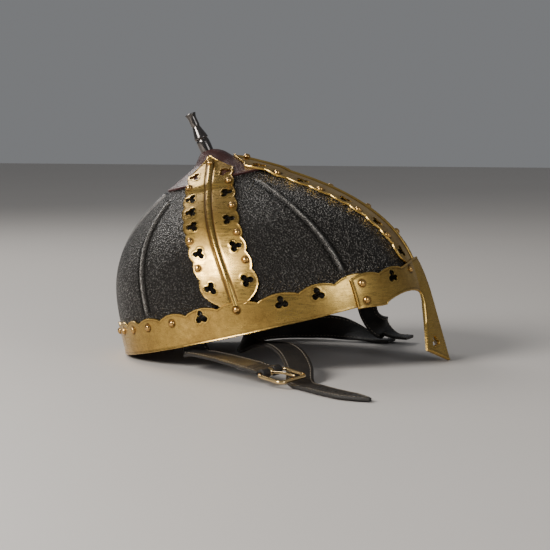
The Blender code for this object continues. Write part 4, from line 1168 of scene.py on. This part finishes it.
def face_top(angle):
    """Top edge of the face plate: two lobes a side and a taller one over the nose."""
    low = np.array((20.6, 20.1, 19.6, 19.6, 20.1, 20.6)) * MM
    rise = np.array((3.0, 2.7, 2.6, 2.7, 3.0)) * MM
    return lobes(angle, FACE_BOUNDS, low, rise) + 1.0 * MM * hill(angle, 8.0)


def face_bottom(angle):
    """Lower edge: it dips to a sharp corner, then arches over each eye to the nose guard."""
    off = np.abs(angle)
    share = np.clip((off - EYE_INNER) / (EYE_OUTER - EYE_INNER), 0.0, 1.0)
    dip = 1.2 * MM + 2.4 * MM * ease(-off, -SEAM, -EYE_OUTER)
    return -dip + 5.0 * MM * np.sin(np.pi * share) ** 0.55


class HELMET_OT_face_plate(Operator):
    """One brass sheet: brow part, an arch over each eye and a creased, pointed nose guard"""
    bl_idname = "helmet.face_plate"
    bl_label = "Face plate"

    def execute(self, context):
        lift0 = 2 * FIT + SHEET
        mid = np.linspace(-EYE_INNER, EYE_INNER, 41)
        side = np.concatenate([-SEAM + (SEAM - EYE_OUTER) * np.linspace(0, 1, 36)[:-1],
                               -EYE_OUTER + (EYE_OUTER - EYE_INNER) * ease(
                                   np.linspace(0, 1, 70), 0, 1)[:-1]])
        angles = np.concatenate([side, mid, -side[::-1]])
        first = len(side)
        level = np.linspace(0, 1, 34)
        level = np.sort(np.concatenate([level, [0.010, 0.022, 0.978, 0.99]]))
        low, high = face_bottom(angles), face_top(angles)
        z = low[None, :] + level[:, None] * (high - low)[None, :]
        scale = 1 / float(degrees_for(1.0, np.array(26.0), np.array(14 * MM)))
        s = angles[None, :] * scale + 0 * z
        holes = [(sign * 26.0 * scale, 15.2 * MM, 90.0) for sign in (-1, 1)]
        s, z, gap, snapped = pierce(s, z, holes, sizes().lobe)
        a = s / scale
        share = np.clip(1 - np.abs(a) / EYE_INNER, 0, 1)
        crease = CREASE * share * (1 - 0.55 * level)[:, None]
        edge = np.minimum(face_top(a) - z, z - face_bottom(a))
        edge = np.minimum(edge, (SEAM - np.abs(a)) * scale)
        root = (np.abs(a) < EYE_INNER - 0.02) & (edge < 12 * MM)
        side_edge = (EYE_INNER - np.abs(a)) * scale
        below = np.hypot(np.clip(z + 3.6 * MM, 0, 1), np.clip(side_edge, 0, 1))
        edge = np.where(root, np.minimum(face_top(a) - z, below), edge)
        outer, inner = self.brow(a, z, lift0, crease, edge, gap)
        nose, nose_in, nose_gap, nose_snap, nose_edge = self.nose(outer, inner, first, len(mid))
        rows, cols = z.shape
        n = rows * cols
        faces = keep_faces(rows, cols, gap, snapped)
        lower = keep_faces(nose.shape[0], nose.shape[1], nose_gap, nose_snap)
        # the nose guard's first row is the brow part's lowest row between the notches
        lookup = np.concatenate([first + np.arange(len(mid)),
                                 n + np.arange(nose[1:].shape[0] * nose.shape[1])])
        faces += [lookup[f][:, ::-1] for f in lower]
        outer = np.concatenate([outer.reshape(-1, 3), nose[1:].reshape(-1, 3)])
        inner = np.concatenate([inner.reshape(-1, 3), nose_in[1:].reshape(-1, 3)])
        points, faces = thick(place(outer), place(inner), faces)
        both_edge = np.concatenate([edge.ravel(), nose_edge[1:].ravel()])
        both_gap = np.concatenate([gap.ravel(), nose_gap[1:].ravel()])
        # Brighter on the lips and hole rims: rubbed wear with a painted highlight; darker behind
        # them.
        dirt_and_shade, rub = wear(both_edge, both_gap)
        at = [(sign * 42.2, h) for sign in (-1, 1) for h in (16.4, 3.4)]
        at += [(sign * 11.4, 16.4) for sign in (-1, 1)]
        # Painted shadow rings round the face plate's rivets.
        rings = np.zeros(z.shape)
        for b, h in at:
            rings += rivet_shadow(np.hypot((a - b) * scale, z - h * MM))
        dirt_and_shade[:n] += rings.ravel()
        put_brass("face_plate", points, faces, dirt_and_shade, rub)
        face = lift0 + SHEET
        for name, sign in (("right", -1), ("left", 1)):
            for which, b, h, r in FACE_RIVETS:
                rivets_at(f"face_rivet_{which}_{name}_head", [spot_on(sign * b, h * MM, face)],
                          sizes().rivet * r, nodes=[f"face_rivet_{which}_{name}"])
        return {"FINISHED"}

    def brow(self, a, z, lift0, crease, edge, gap):
        """Points of the brow part: the skull lifted by the sheet, the crease and the lips."""
        lip, drop = lip_and_drop(edge)
        rim = lip - drop + hole_lip(gap)
        return (skull(a, z, lift0 + SHEET + crease + rim), skull(a, z, lift0 + crease))

    def nose(self, outer, inner, first, count):
        """Nose guard: from the rim between the notches to a wide pointed end.

        Half the width grows with t ^ 1.6, the middle runs straight to the tip, and the sides
        fall back by the crease; near the top it turns from the rim's curve to that shape.
        """
        share = np.linspace(-1, 1, count)[None, :]
        t = np.linspace(0, 1, 96)[:, None]
        t = np.sort(np.concatenate([t, [[0.992], [0.985]]]), 0)
        root, root_in = outer[0, first:first + count], inner[0, first:first + count]
        half = NASAL_ROOT + (NASAL_END - NASAL_ROOT) * t ** 1.6
        mix = ease(t, 0.0, 0.25)[..., None]
        end_z = -NASAL_DROP + NASAL_CORNER * np.abs(share)
        middle = root[count // 2, 0]
        line = middle + (NASAL_REACH - middle) * t
        down = root[None, :, 2] + (end_z - root[None, :, 2]) * t
        holes = [(sign * 11.0 * MM, -42 * MM, 90.0) for sign in (-1, 1)]
        y2, z2, gap, snapped = pierce(half * share, down, holes, sizes().lobe * 0.85)
        fall = CREASE * (0.9 + 1.3 * t) / half
        edge_side = half - np.abs(y2)
        edge_low = (z2 - (-NASAL_DROP + NASAL_CORNER * np.abs(y2) / half)) * 0.86
        edge = np.minimum(edge_side, edge_low)
        lip, drop = (height * ease(t, 0.0, 0.08) for height in lip_and_drop(edge))
        swell = 0.5 * MM * hill(np.abs(y2) / half - 0.55, 0.35)
        free = np.stack([line - fall * np.abs(y2) + lip - drop + swell, y2, z2], -1)
        rim = np.stack([root[None, :, 0] + line - middle, root[None, :, 1] + 0 * t, down], -1)
        out = rim * (1 - mix) + free * mix
        back = np.array([-1.0, 0, 0]) * NASAL_SHEET * mix
        body = out - np.stack([lip - drop + swell, 0 * lip, 0 * lip], -1) * mix
        back_side = body + back + (root_in - root)[None] * (1 - mix)
        return out, back_side, gap, snapped, edge


# ================================================================ lining


PETALS = 6
PETAL_LOW, PETAL_HIGH, PETAL_SHEET, PETAL_HANG = 33.3 * MM, 104 * MM, 1.2 * MM, 11 * MM


class HELMET_OT_lining(Operator):
    """Leather sweatband and six petals gathered by a lace at their tips"""
    bl_idname = "helmet.lining"
    bl_label = "Lining"

    def execute(self, context):
        self.sweatband()
        for k in range(PETALS):
            self.petal(k)
        self.lace()
        return {"FINISHED"}

    def sweatband(self):
        """Closed ring inside the skull plates, swollen between stitched edges."""
        angles = np.linspace(0, 360, 361)[:-1]
        level = np.linspace(0, 1, 20)
        a, up = np.meshgrid(angles, level)
        z = over_eyes(3 * MM + 30 * MM * up, a, 3 * MM)
        swell = 0.45 * MM * np.sin(np.pi * up) ** 0.5
        seam = 0.35 * MM * (hill(up - 0.1, 0.03) + hill(up - 0.9, 0.03))
        face = -(WALL + 1.0 * MM)
        outer = skull(a, z, face + 0 * z)
        inner = skull(a, z, face - 1.55 * MM - swell + seam)
        points, faces = thick(place(outer), place(inner),
                              [grid_faces(*z.shape, round_cols=True)])
        edge = hill(up, 0.05) + hill(1 - up, 0.05)
        # Darker along the two seam grooves.
        put("sweatband", points, faces, material("lining leather"), nodes=["sweatband"],
            values=twice({"edge": edge, "grime_and_shade": hill(up - 0.1, 0.03) + hill(up - 0.9, 0.03)}))
        for row, height in (("lower", 0.1), ("upper", 0.9)):
            turn = np.linspace(0, 359.8, 1800)
            line = over_eyes(np.full(1800, (3 + 30 * height) * MM), turn, 3 * MM)
            path = place(skull(turn, line, face - 2.0 * MM))
            out = place(skull(turn, line, face - 3.0 * MM)) - path
            stitches(f"sweatband_stitches_{row}", path, out, "helmet", 4.2 * MM, "tan thread")

    def petal(self, k):
        """Leaf between two spokes: it narrows with height and hangs in from the skull."""
        t, across = np.linspace(0, 1, 40), np.linspace(-1, 1, 44)
        share = 0.47 * 60.0 * (1 - 0.35 * t ** 2)
        angles = 60.0 * (k + 0.5) + share[:, None] * across[None, :]
        z = PETAL_LOW + (PETAL_HIGH - PETAL_LOW) * t[:, None] + 0 * angles
        hang = WALL + PETAL_SHEET + PETAL_HANG * ease(t, 0.0, 0.8)[:, None] + 0 * z
        rim = np.minimum(1 - np.abs(across)[None, :], 0.5 * (1 - t)[:, None])
        dome = 0.5 * MM * np.clip(rim / 0.25, 0, 1) ** 0.6 - 0.3 * MM * hill(rim - 0.08, 0.02)
        points, faces = thick(place(skull(angles, z, -hang)),
                              place(skull(angles, z, -hang - PETAL_SHEET - dome)),
                              [grid_faces(*z.shape)])
        edge, seam = hill(rim, 0.035), hill(rim - 0.08, 0.02)
        node = f"liner_petal_{k + 1}"
        # Darker in the seam groove inside the rim.
        put(node, points, faces, material("lining leather"), nodes=[node],
            values=twice({"edge": edge, "grime_and_shade": seam}))

    def lace(self):
        """Twisted cord round the petals' tips: two strands winding round one ring."""
        a = np.linspace(0, 360, 721)[:-1]
        depth = -(WALL + PETAL_SHEET + PETAL_HANG + 1.6 * MM + FIT + 1.4 * MM)
        ring = place(skull(a, PETAL_HIGH + 0 * a, depth + 0 * a))
        out = unit(ring - ring.mean(0))
        up = np.cross(unit(np.roll(ring, -1, 0) - np.roll(ring, 1, 0)), out)
        points, faces = [], []
        for strand in (0, 180):
            turn = np.radians(36 * a + strand)[:, None]
            path = ring + 0.6 * MM * (np.cos(turn) * out + np.sin(turn) * up)
            p, f = pipe(path, 0.72 * MM, sides=6, closed=True, normal=up.mean(0))
            faces += [g + sum(len(q) for q in points) for g in f]
            points.append(p)
        put("liner_lace", np.concatenate(points), faces, material("lining leather"),
            nodes=["liner_lace"])


# ================================================================ straps


STITCH_INSET = 2.2 * MM
ROOT_DEPTH = WALL + 1.0 * MM + 2.0 * MM + FIT


def smooth_path(frames, step):
    """Catmull-Rom curve through (centre, width) frames, sampled evenly; returns rows."""
    p = np.array([list(c) + list(w) for c, w in frames], float)
    p = np.vstack([2 * p[0] - p[1], p, 2 * p[-1] - p[-2]])
    t = np.linspace(0, 1, 40, endpoint=False)[:, None]
    a, b, c, d = p[:-3, None], p[1:-2, None], p[2:-1, None], p[3:, None]
    out = 0.5 * (2 * b + (c - a) * t + (2 * a - 5 * b + 4 * c - d) * t ** 2
                 + (3 * b - a - 3 * c + d) * t ** 3)
    out = np.concatenate([out.reshape(-1, 6), p[-2:-1]])
    run = run_along(out[:, :3])
    return along_path(np.linspace(0, run[-1], int(run[-1] / step) + 2), run, out)


class Strap:
    """Flat leather strap: a crowned section with softened edges carried along a smooth path."""

    def __init__(self, frames, point=0.0, step=0.9):
        rows = smooth_path(frames, step)
        centre, width = rows[:, :3] * MM + SHIFT, rows[:, 3:]
        heading = unit(np.gradient(centre, axis=0))
        width = unit(width - (width * heading).sum(1, keepdims=True) * heading)
        self.centre, self.width, self.heading = centre, width, heading
        self.face = np.cross(heading, width)
        self.run = run_along(centre)
        self.half = np.full(len(centre), sizes().strap / 2)
        if point:
            self.half = self.half * np.clip((self.run[-1] - self.run) / point, 0.03, 1.0) ** 0.6

    def section(self, holes=(), slots=()):
        """Upper and lower faces with stitching grooves, punched rings and creases."""
        q = np.sort(np.concatenate([np.linspace(-1, 1, 45), [-0.985, 0.985]]))
        a = self.half[:, None] * q[None, :]
        tall = sizes().leather / 2
        round_off = 0.35 + 0.65 * (1 - np.abs(q)[None, :] ** 14) ** 0.5
        groove = hill(self.half[:, None] - np.abs(a) - STITCH_INSET, 0.45 * MM)
        grooved = tall * round_off - 0.22 * MM * groove
        h = grooved
        dirt_and_shade, bright = 0.55 * groove, 0.0 * groove
        run = self.run[:, None] + 0 * a
        for at, across in holes:
            away = np.hypot(run - at, a - across)
            collar = hill(away - 2.5 * MM, 0.6 * MM)
            h = h - 1.0 * MM * hill(away, 1.2 * MM) ** 2 + 0.30 * MM * collar
            # Painted shade in each punched hole and just outside its raised ring; painted highlight
            # on the ring.
            dirt_and_shade = dirt_and_shade + hill(away, 1.5 * MM) + 0.6 * hill(away - 3.6 * MM, 0.5 * MM)
            bright = bright + 0.8 * collar
        for at in slots:
            inside = np.abs(a) < 6.4 * MM
            h = h - 0.45 * MM * hill(run - at, 0.6 * MM) * inside
            # Painted shade in the slot creases.
            dirt_and_shade = dirt_and_shade + 0.8 * hill(run - at, 0.6 * MM) * inside
        mid = self.centre[:, None] + a[..., None] * self.width[:, None]
        top = mid + h[..., None] * self.face[:, None]
        low = mid - grooved[..., None] * self.face[:, None]
        edge = np.clip(hill(1 - np.abs(q), 0.06)[None, :] + bright, 0, 1)
        return top, low, {"edge": edge, "grime_and_shade": np.clip(dirt_and_shade, 0, 1)}

    def stitch_lines(self, start=3 * MM, end=3 * MM):
        """Four rows of stitches: near both edges of both faces."""
        keep = (self.run > start) & (self.run < self.run[-1] - end) & (self.half > 3.2 * MM)
        tall = sizes().leather / 2 - 0.12 * MM
        for side in (-1, 1):
            for face in (-1, 1):
                off = side * (self.half - STITCH_INSET)
                path = self.centre + off[:, None] * self.width + face * tall * self.face
                yield path[keep], face * self.face[keep]


def stitches(name, path, out, body, pitch, look="black thread", blend=None):
    """Short rounded threads laid end to end along a path: one capsule carried to each place."""
    run = run_along(path)
    at = np.arange(pitch / 2, run[-1], pitch)
    spot, up = along_path(at, run, path), along_path(at, run, out)
    ahead = along_path(at + 0.3 * MM, run, path) - spot
    ahead /= np.maximum(np.linalg.norm(ahead, axis=1, keepdims=True), 1e-9)
    up = unit(up - (up * ahead).sum(1, keepdims=True) * ahead)
    side = np.cross(ahead, up)
    ring = np.radians(60.0 * np.arange(6))
    along = np.array([-0.50, -0.40, 0.0, 0.40, 0.50]) * 0.72 * pitch
    fat = np.array([0.10, 0.85, 1.0, 0.85, 0.10]) * 0.30 * MM
    sink = np.array([-0.22, -0.05, 0.10, -0.05, -0.22]) * MM
    local = np.stack([along[:, None] + 0 * ring, fat[:, None] * np.cos(ring),
                      fat[:, None] * np.sin(ring) + sink[:, None]], -1).reshape(-1, 3)
    axes = np.stack([ahead, side, up], 1)
    points = np.einsum("nk,skc->snc", local, axes) + spot[:, None, :]
    quads = grid_faces(5, 6, round_cols=True)
    lids = np.stack([np.arange(6)[::-1], np.arange(6) + 24])
    base = (np.arange(len(at)) * 30)[:, None, None]
    faces = [(quads[None] + base).reshape(-1, 4), (lids[None] + base).reshape(-1, 6)]
    ob = put(name, points.reshape(-1, 3), faces, material(look), body=None if blend else body,
             sharp=60)
    if blend:
        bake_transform(ob)
    return ob


def strap_start(angle, below=0.6 * MM):
    """Point under a strap's root on its middle plane, in millimetres before the shift."""
    depth = ROOT_DEPTH + 1.25 * MM
    rim = skull(np.array(angle), np.array(0.0), np.array(-depth)) + [0, 0, ROOT_LOW - below]
    return (place(rim) - SHIFT) / MM


def rim_direction(angle, sign):
    """Unit vector along the rim at an angle, one way or the other round."""
    step = place(skull(np.array(angle + 1.0), np.array(0.0))) - place(
        skull(np.array(angle - 1.0), np.array(0.0)))
    return sign * step / np.linalg.norm(step)


def buckle_axes():
    """Bar point, bar direction, length direction and the upward normal of the buckle."""
    side = np.array(BAR_DIRECTION) / np.linalg.norm(BAR_DIRECTION)
    along = np.array([side[1], -side[0], 0.0])
    along = along / np.linalg.norm(along) + [0, 0, BAR_FALL]
    along -= side * (along @ side)
    along /= np.linalg.norm(along)
    return np.array(BAR) * MM, side, along, np.cross(along, side)


NEAR_FRAMES = [((-38.6, -88.4, 13.2), (0.93, -0.15, 0.05)),
               ((-34.5, -93.2, 12.6), (0.88, 0.35, 0.05)),
               ((-27.0, -99.8, 12.9), (0.76, 0.64, 0.05)),
               ((-8.0, -116.0, 12.4), (0.63, 0.77, 0.08)),
               ((12.0, -134.0, 11.2), (0.58, 0.81, 0.11))]
LOOP_FRAMES = [((78.0, 96.0, 1.6), (0.10, 1.0, 0.0)), ((64.0, 98.0, 1.7), (0.10, 1.0, 0.02)),
               ((46.0, 102.5, 6.9), (0.10, 0.80, 0.55)), ((28.0, 106.0, 10.3), (0.0, 0.30, 0.95)),
               ((6.0, 107.0, 10.2), (0.0, 0.05, 1.0)), ((-14.0, 101.0, 10.2), (0.0, 0.0, 1.0)),
               ((-27.0, 84.0, 10.2), (0.0, 0.0, 1.0)), ((-32.0, 58.0, 10.2), (0.0, 0.0, 1.0)),
               ((-30.0, 28.0, 10.4), (0.25, 0.0, 0.95)), ((-22.0, -4.0, 10.6), (0.60, 0.1, 0.78)),
               ((-8.0, -36.0, 11.5), (0.85, 0.25, 0.40)), ((8.0, -62.0, 16.5), (0.94, 0.30, 0.12)),
               ((24.0, -86.0, 19.5), (0.96, 0.24, 0.02)),
               ((38.0, -108.0, 16.5), (0.97, 0.14, -0.02)),
               ((48.0, -128.0, 9.0), (0.98, 0.10, 0.0)), ((52.0, -144.0, 2.6), (0.97, 0.24, 0.0)),
               ((57.5, -158.5, 1.7), (0.85, 0.50, 0.0)), ((66.0, -168.0, 1.7), (0.75, 0.66, 0.0))]
TIP_FRAMES = [((66.0, -168.0, 1.7), (0.75, 0.66, 0.0)), ((80.0, -183.7, 1.7), (0.73, 0.68, 0.0)),
              ((97.0, -199.5, 1.7), (0.68, 0.73, 0.0)), ((114.0, -212.0, 1.7), (0.62, 0.78, 0.0))]


class HELMET_OT_straps(Operator):
    """Chin straps: the near one to the buckle, the long one and its loose pointed end"""
    bl_idname = "helmet.straps"
    bl_label = "Straps"

    def execute(self, context):
        for name, angle in (("near", NEAR_ROOT), ("far", FAR_ROOT)):
            self.root(name, angle)
        start = strap_start(FAR_ROOT)
        side = rim_direction(FAR_ROOT, -1)
        drop = [(start, side), (strap_start(FAR_ROOT, 6 * MM), side),
                (start * (1, 1, 0.4) + (4.0, 6.0, 6.5), (0.80, -0.45, 0.2)),
                ((71.5, 99.5, 10.0), (0.45, 0.85, 0.1)), ((80.0, 97.0, 5.6), (0.10, 0.99, 0.0)),
                ((93.0, 95.0, 4.8), (0.05, 1.0, 0.0))]
        self.strap("far_strap_drop", Strap(drop), "helmet")
        self.strap("loop_strap", Strap(LOOP_FRAMES), "helmet")
        tip = Strap(TIP_FRAMES, point=22 * MM)
        hinge = np.array(JOINTS["strap_tip_lift"]["pos_m"])
        bend = ("helmet", "strap_tip", tuple(tip.centre[0]),
                tuple(hinge + 9 * MM * tip.heading[0]))
        holes = [(d * MM, 0.0) for d in (11.0, 21.0, 31.0, 41.0, 51.0)]
        self.strap("strap_tip", tip, "strap_tip", bend=bend, holes=holes)

        start = strap_start(NEAR_ROOT)
        bar, bar_side, along, _ = buckle_axes()
        stop = (bar - along * 3.7 * MM) / MM
        side = rim_direction(NEAR_ROOT, 1)
        frames = [(start, side), (strap_start(NEAR_ROOT, 4 * MM), side)] + NEAR_FRAMES
        frames += [(stop - along * 14.0, bar_side), (stop, bar_side)]
        near = Strap(frames)
        bend = ("helmet", "near_strap", tuple(near.centre[0]),
                tuple(near.centre[0] + 14 * MM * near.heading[6]))
        length = near.run[-1]
        self.strap("near_strap", near, "near_strap", bend=bend,
                   slots=(length - 7 * MM, length - 12 * MM))
        return {"FINISHED"}

    def strap(self, name, strap, body, bend=None, holes=(), slots=()):
        """One strap and its four rows of stitches, riding on a body, or on none with its transform
        baked in where a bend is given.
        """
        top, low, values = strap.section(holes, slots)
        faces = [grid_faces(*top.shape[:2])[:, ::-1]]
        points, faces = thick(top, low, faces)
        ob = put(name, points, faces, material("black leather"), body=None if bend else body,
                 nodes=[name], values=twice(values), sharp=60)
        if bend:
            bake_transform(ob)
        for k, (path, out) in enumerate(strap.stitch_lines()):
            stitches(f"{name}_stitches_{k + 1}", path, out, body, sizes().stitch, blend=bend)

    def root(self, name, angle):
        """Strap end inside the rim: a patch that follows the skull, with a rivet head on it."""
        half = float(degrees_for(9.75 * MM, np.array(angle), np.array(0.0)))
        rows, across = np.linspace(ROOT_LOW, ROOT_HIGH, 24), np.linspace(-1, 1, 24)
        a, z = angle + half * across[None, :] + 0 * rows[:, None], rows[:, None] + 0 * across
        face = -ROOT_DEPTH
        away = np.minimum(1 - np.abs(across)[None, :], 2 * (ROOT_HIGH - z) / (20 * MM))
        soft = 0.5 * MM * hill(away, 0.08) + 0.2 * MM * hill(away - 0.22, 0.05)
        points, faces = thick(place(skull(a, z, face + 0 * z)),
                              place(skull(a, z, face - 2.5 * MM + soft)), [grid_faces(*z.shape)])
        node = f"{name}_strap_root"
        # Darker in the groove inside the patch's edge.
        put(node, points, faces, material("black leather"), nodes=[node],
            values=twice({"edge": hill(away, 0.1), "grime_and_shade": 0.5 * hill(away - 0.22, 0.05)}))
        point, out = spot_on(angle, 12 * MM, face - 2.5 * MM)
        rivets_at(f"{name}_strap_rivet_head", [(point, -out)], 2.9 * MM,
                  nodes=[f"{name}_strap_rivet"])


class HELMET_OT_buckle(Operator):
    """Brass wire buckle with its prong, and the leather folded round its bar"""
    bl_idname = "helmet.buckle"
    bl_label = "Buckle"

    def execute(self, context):
        bar, side, along, up = buckle_axes()
        bar = bar + SHIFT
        wire, length, corner = 1.3 * MM, 24 * MM, 4 * MM
        half = sizes().strap / 2 + 1.2 * MM + wire
        turn = np.radians(np.linspace(0, 90, 13))
        legs = []
        for cx, cy, start in ((length - corner, half - corner, 0), (corner, half - corner, 90),
                              (corner, corner - half, 180), (length - corner, corner - half, 270)):
            t = turn + math.radians(start)
            legs.append(np.stack([cx + corner * np.cos(t), cy + corner * np.sin(t)], -1))
        flat = np.concatenate(legs)
        ahead = np.roll(flat, -1, 0)
        between = flat[:, None] + (ahead - flat)[:, None] * np.linspace(0, 1, 4)[None, :-1, None]
        flat = between.reshape(-1, 2)
        path = bar + flat[:, :1] * along + flat[:, 1:] * side
        points, faces = pipe(path, wire, sides=18, closed=True, normal=up)
        put("buckle_frame", points, faces, material("buckle brass"), body="buckle",
            nodes=["buckle_frame"])
        self.prong(bar, side, along, up, wire, length)
        self.folds(bar, side, along, up, wire)
        return {"FINISHED"}

    def ring(self, bar, side, along, up, rings, name, look, body, node, slot):
        """Profile of (radius, place along the bar) turned about the bar, closed on itself."""
        axes = np.stack([along, up, side])
        if np.linalg.det(axes) < 0:
            axes = np.stack([up, along, side])
        points = turned(rings, 40, axes, bar)
        faces = [grid_faces(len(rings), 40, round_cols=True, round_rows=True)]
        return put(name, points, faces, material(look), body=body, nodes=node, sharp=50)

    def prong(self, bar, side, along, up, wire, length):
        """Prong: an eye round the bar and a tapered pin ending over the frame's far side."""
        r0, r1, h = wire + 0.3 * MM, wire + 1.55 * MM, 1.8 * MM
        rings = [(r0, -h + 0.2 * MM), (r0 + 0.25 * MM, -h), (r1 - 0.3 * MM, -h),
                 (r1, -h + 0.3 * MM), (r1, h - 0.3 * MM), (r1 - 0.3 * MM, h),
                 (r0 + 0.25 * MM, h), (r0, h - 0.2 * MM)]
        self.ring(bar, side, along, up, rings, "buckle_prong", "buckle brass", "prong",
                  ["buckle_prong"], "buckle_brass")
        rise = wire + 1.0 * MM + 0.3 * MM
        t = np.linspace(0, 1, 40)[:, None]
        start = bar + along * (r0 + 0.5 * MM)
        end = bar + along * (length + wire) + up * (rise + 0.1 * MM)
        knee = bar + along * (0.5 * length) + up * rise
        path = (1 - t) ** 2 * start + 2 * t * (1 - t) * knee + t ** 2 * end
        radius = (1.05 - 0.25 * t[:, 0]) * MM * np.sqrt(np.clip(1 - ((t[:, 0] - 0.94) / 0.062).clip(
            0, 1) ** 2, 0.02, 1))
        points, faces = pipe(path, radius, sides=14, normal=side)
        put("buckle_pin", points, faces, material("buckle brass"), body="prong",
            sharp=60)

    def folds(self, bar, side, along, up, wire):
        """Leather round the bar on each side of the prong's eye."""
        r0, r1 = wire + 0.3 * MM, wire + 2.3 * MM
        for name, sign in (("near_strap_fold_lower", -1), ("near_strap_fold_upper", 1)):
            lo, hi = sorted((sign * 2.1 * MM, sign * (sizes().strap / 2 - 0.6 * MM)))
            rings = [(r0, lo), (r1 - 0.6 * MM, lo), (r1 - 0.15 * MM, lo + 0.2 * MM),
                     (r1, lo + 0.7 * MM), (r1, hi - 0.7 * MM), (r1 - 0.15 * MM, hi - 0.2 * MM),
                     (r1 - 0.6 * MM, hi), (r0, hi)]
            self.ring(bar, side, along, up, rings, name, "black leather", "near_strap", [name],
                      "black_leather")


# ================================================================ stage


class HELMET_OT_stage(Operator):
    """Pale floor, soft studio lights and the camera"""
    bl_idname = "helmet.stage"
    bl_label = "Stage"

    def execute(self, context):
        stage = context.scene.helmet_stage
        reach = 4.0
        corner = np.array([[-1, -1, 0], [1, -1, 0], [1, 1, 0], [-1, 1, 0]], float) * reach
        floor = put("floor", corner - [0, 0, 0.2 * MM], [np.array([[0, 1, 2, 3]])],
                    material("pale floor"), body=None)
        self.camera(context, stage)
        world = bpy.data.worlds.new("studio")
        world.use_nodes = True
        background = world.node_tree.nodes["Background"]
        background.inputs["Color"].default_value = (0.80, 0.82, 0.85, 1.0)
        background.inputs["Strength"].default_value = 0.24
        context.scene.world = world
        self.light("key", (-0.95, -1.15, 0.95), 0.75, stage.key, (1.0, 0.97, 0.93))
        self.light("rim", (-0.9, 0.9, 1.0), 0.6, stage.fill * 1.6, (1.0, 0.98, 0.95))
        self.light("fill", (1.3, -0.9, 0.7), 0.8, stage.fill, (0.95, 0.97, 1.0))
        return {"FINISHED"}

    def camera(self, context, stage):
        """Camera at the stage's turn and tilt, at a fixed distance from the helmet."""
        az, tilt = stage.azimuth, stage.pitch
        away, height, slide = 1493.7 * MM, 202.7 * MM, 1.3 * MM
        spot = Vector((math.sin(az) * away + math.cos(az) * slide,
                       -math.cos(az) * away + math.sin(az) * slide, height)) + Vector(SHIFT)
        data = bpy.data.cameras.new("camera")
        data.lens = stage.lens
        data.sensor_width = 36.0
        data.clip_end = 20.0
        ob = bpy.data.objects.new("camera", data)
        ob.location = spot
        ob.rotation_euler = (math.pi / 2 - tilt, 0.0, az)
        context.scene.collection.objects.link(ob)
        context.scene.camera = ob

    def light(self, name, spot, size, power, tint):
        """Round area light aimed at the middle of the helmet."""
        data = bpy.data.lights.new(name, "AREA")
        data.shape = "DISK"
        data.size = size
        data.energy = power
        data.color = tint
        ob = bpy.data.objects.new(name, data)
        ob.location = spot
        aim = Vector((0.0, 0.02, 0.08)) - Vector(spot)
        ob.rotation_euler = aim.to_track_quat("-Z", "Y").to_euler()
        bpy.context.scene.collection.objects.link(ob)


class HELMET_PT_panel(Panel):
    """Sizes, colours and one button for each step"""
    bl_idname = "HELMET_PT_panel"
    bl_label = "Knight's helmet"
    bl_space_type = "VIEW_3D"
    bl_region_type = "UI"
    bl_category = "Helmet"

    def draw(self, context):
        for settings in (sizes(), colours(), context.scene.helmet_stage):
            for key in settings.bl_rna.properties.keys():
                if key not in ("rna_type", "name"):
                    self.layout.prop(settings, key)
        for step in STEPS:
            self.layout.operator(step.bl_idname)


STEPS = (HELMET_OT_stage, HELMET_OT_skull, HELMET_OT_back_strip, HELMET_OT_cap,
         HELMET_OT_plume_holder, HELMET_OT_side_bands, HELMET_OT_front_band, HELMET_OT_brow_band,
         HELMET_OT_face_plate, HELMET_OT_lining, HELMET_OT_straps, HELMET_OT_buckle)
CLASSES = (HelmetSizes, HelmetColours, HelmetStage) + STEPS + (HELMET_PT_panel,)


def register():
    """Add the classes and the three groups of settings."""
    for item in CLASSES:
        bpy.utils.register_class(item)
    bpy.types.Scene.helmet_sizes = PointerProperty(type=HelmetSizes)
    bpy.types.Scene.helmet_colours = PointerProperty(type=HelmetColours)
    bpy.types.Scene.helmet_stage = PointerProperty(type=HelmetStage)


def unregister():
    """Take them away again."""
    del bpy.types.Scene.helmet_sizes, bpy.types.Scene.helmet_colours, bpy.types.Scene.helmet_stage
    for item in reversed(CLASSES):
        bpy.utils.unregister_class(item)


def main():
    """Run every step."""
    register()
    for step in STEPS:
        family, action = step.bl_idname.split(".")
        getattr(getattr(bpy.ops, family), action)()


if __name__ == "__main__":
    main()
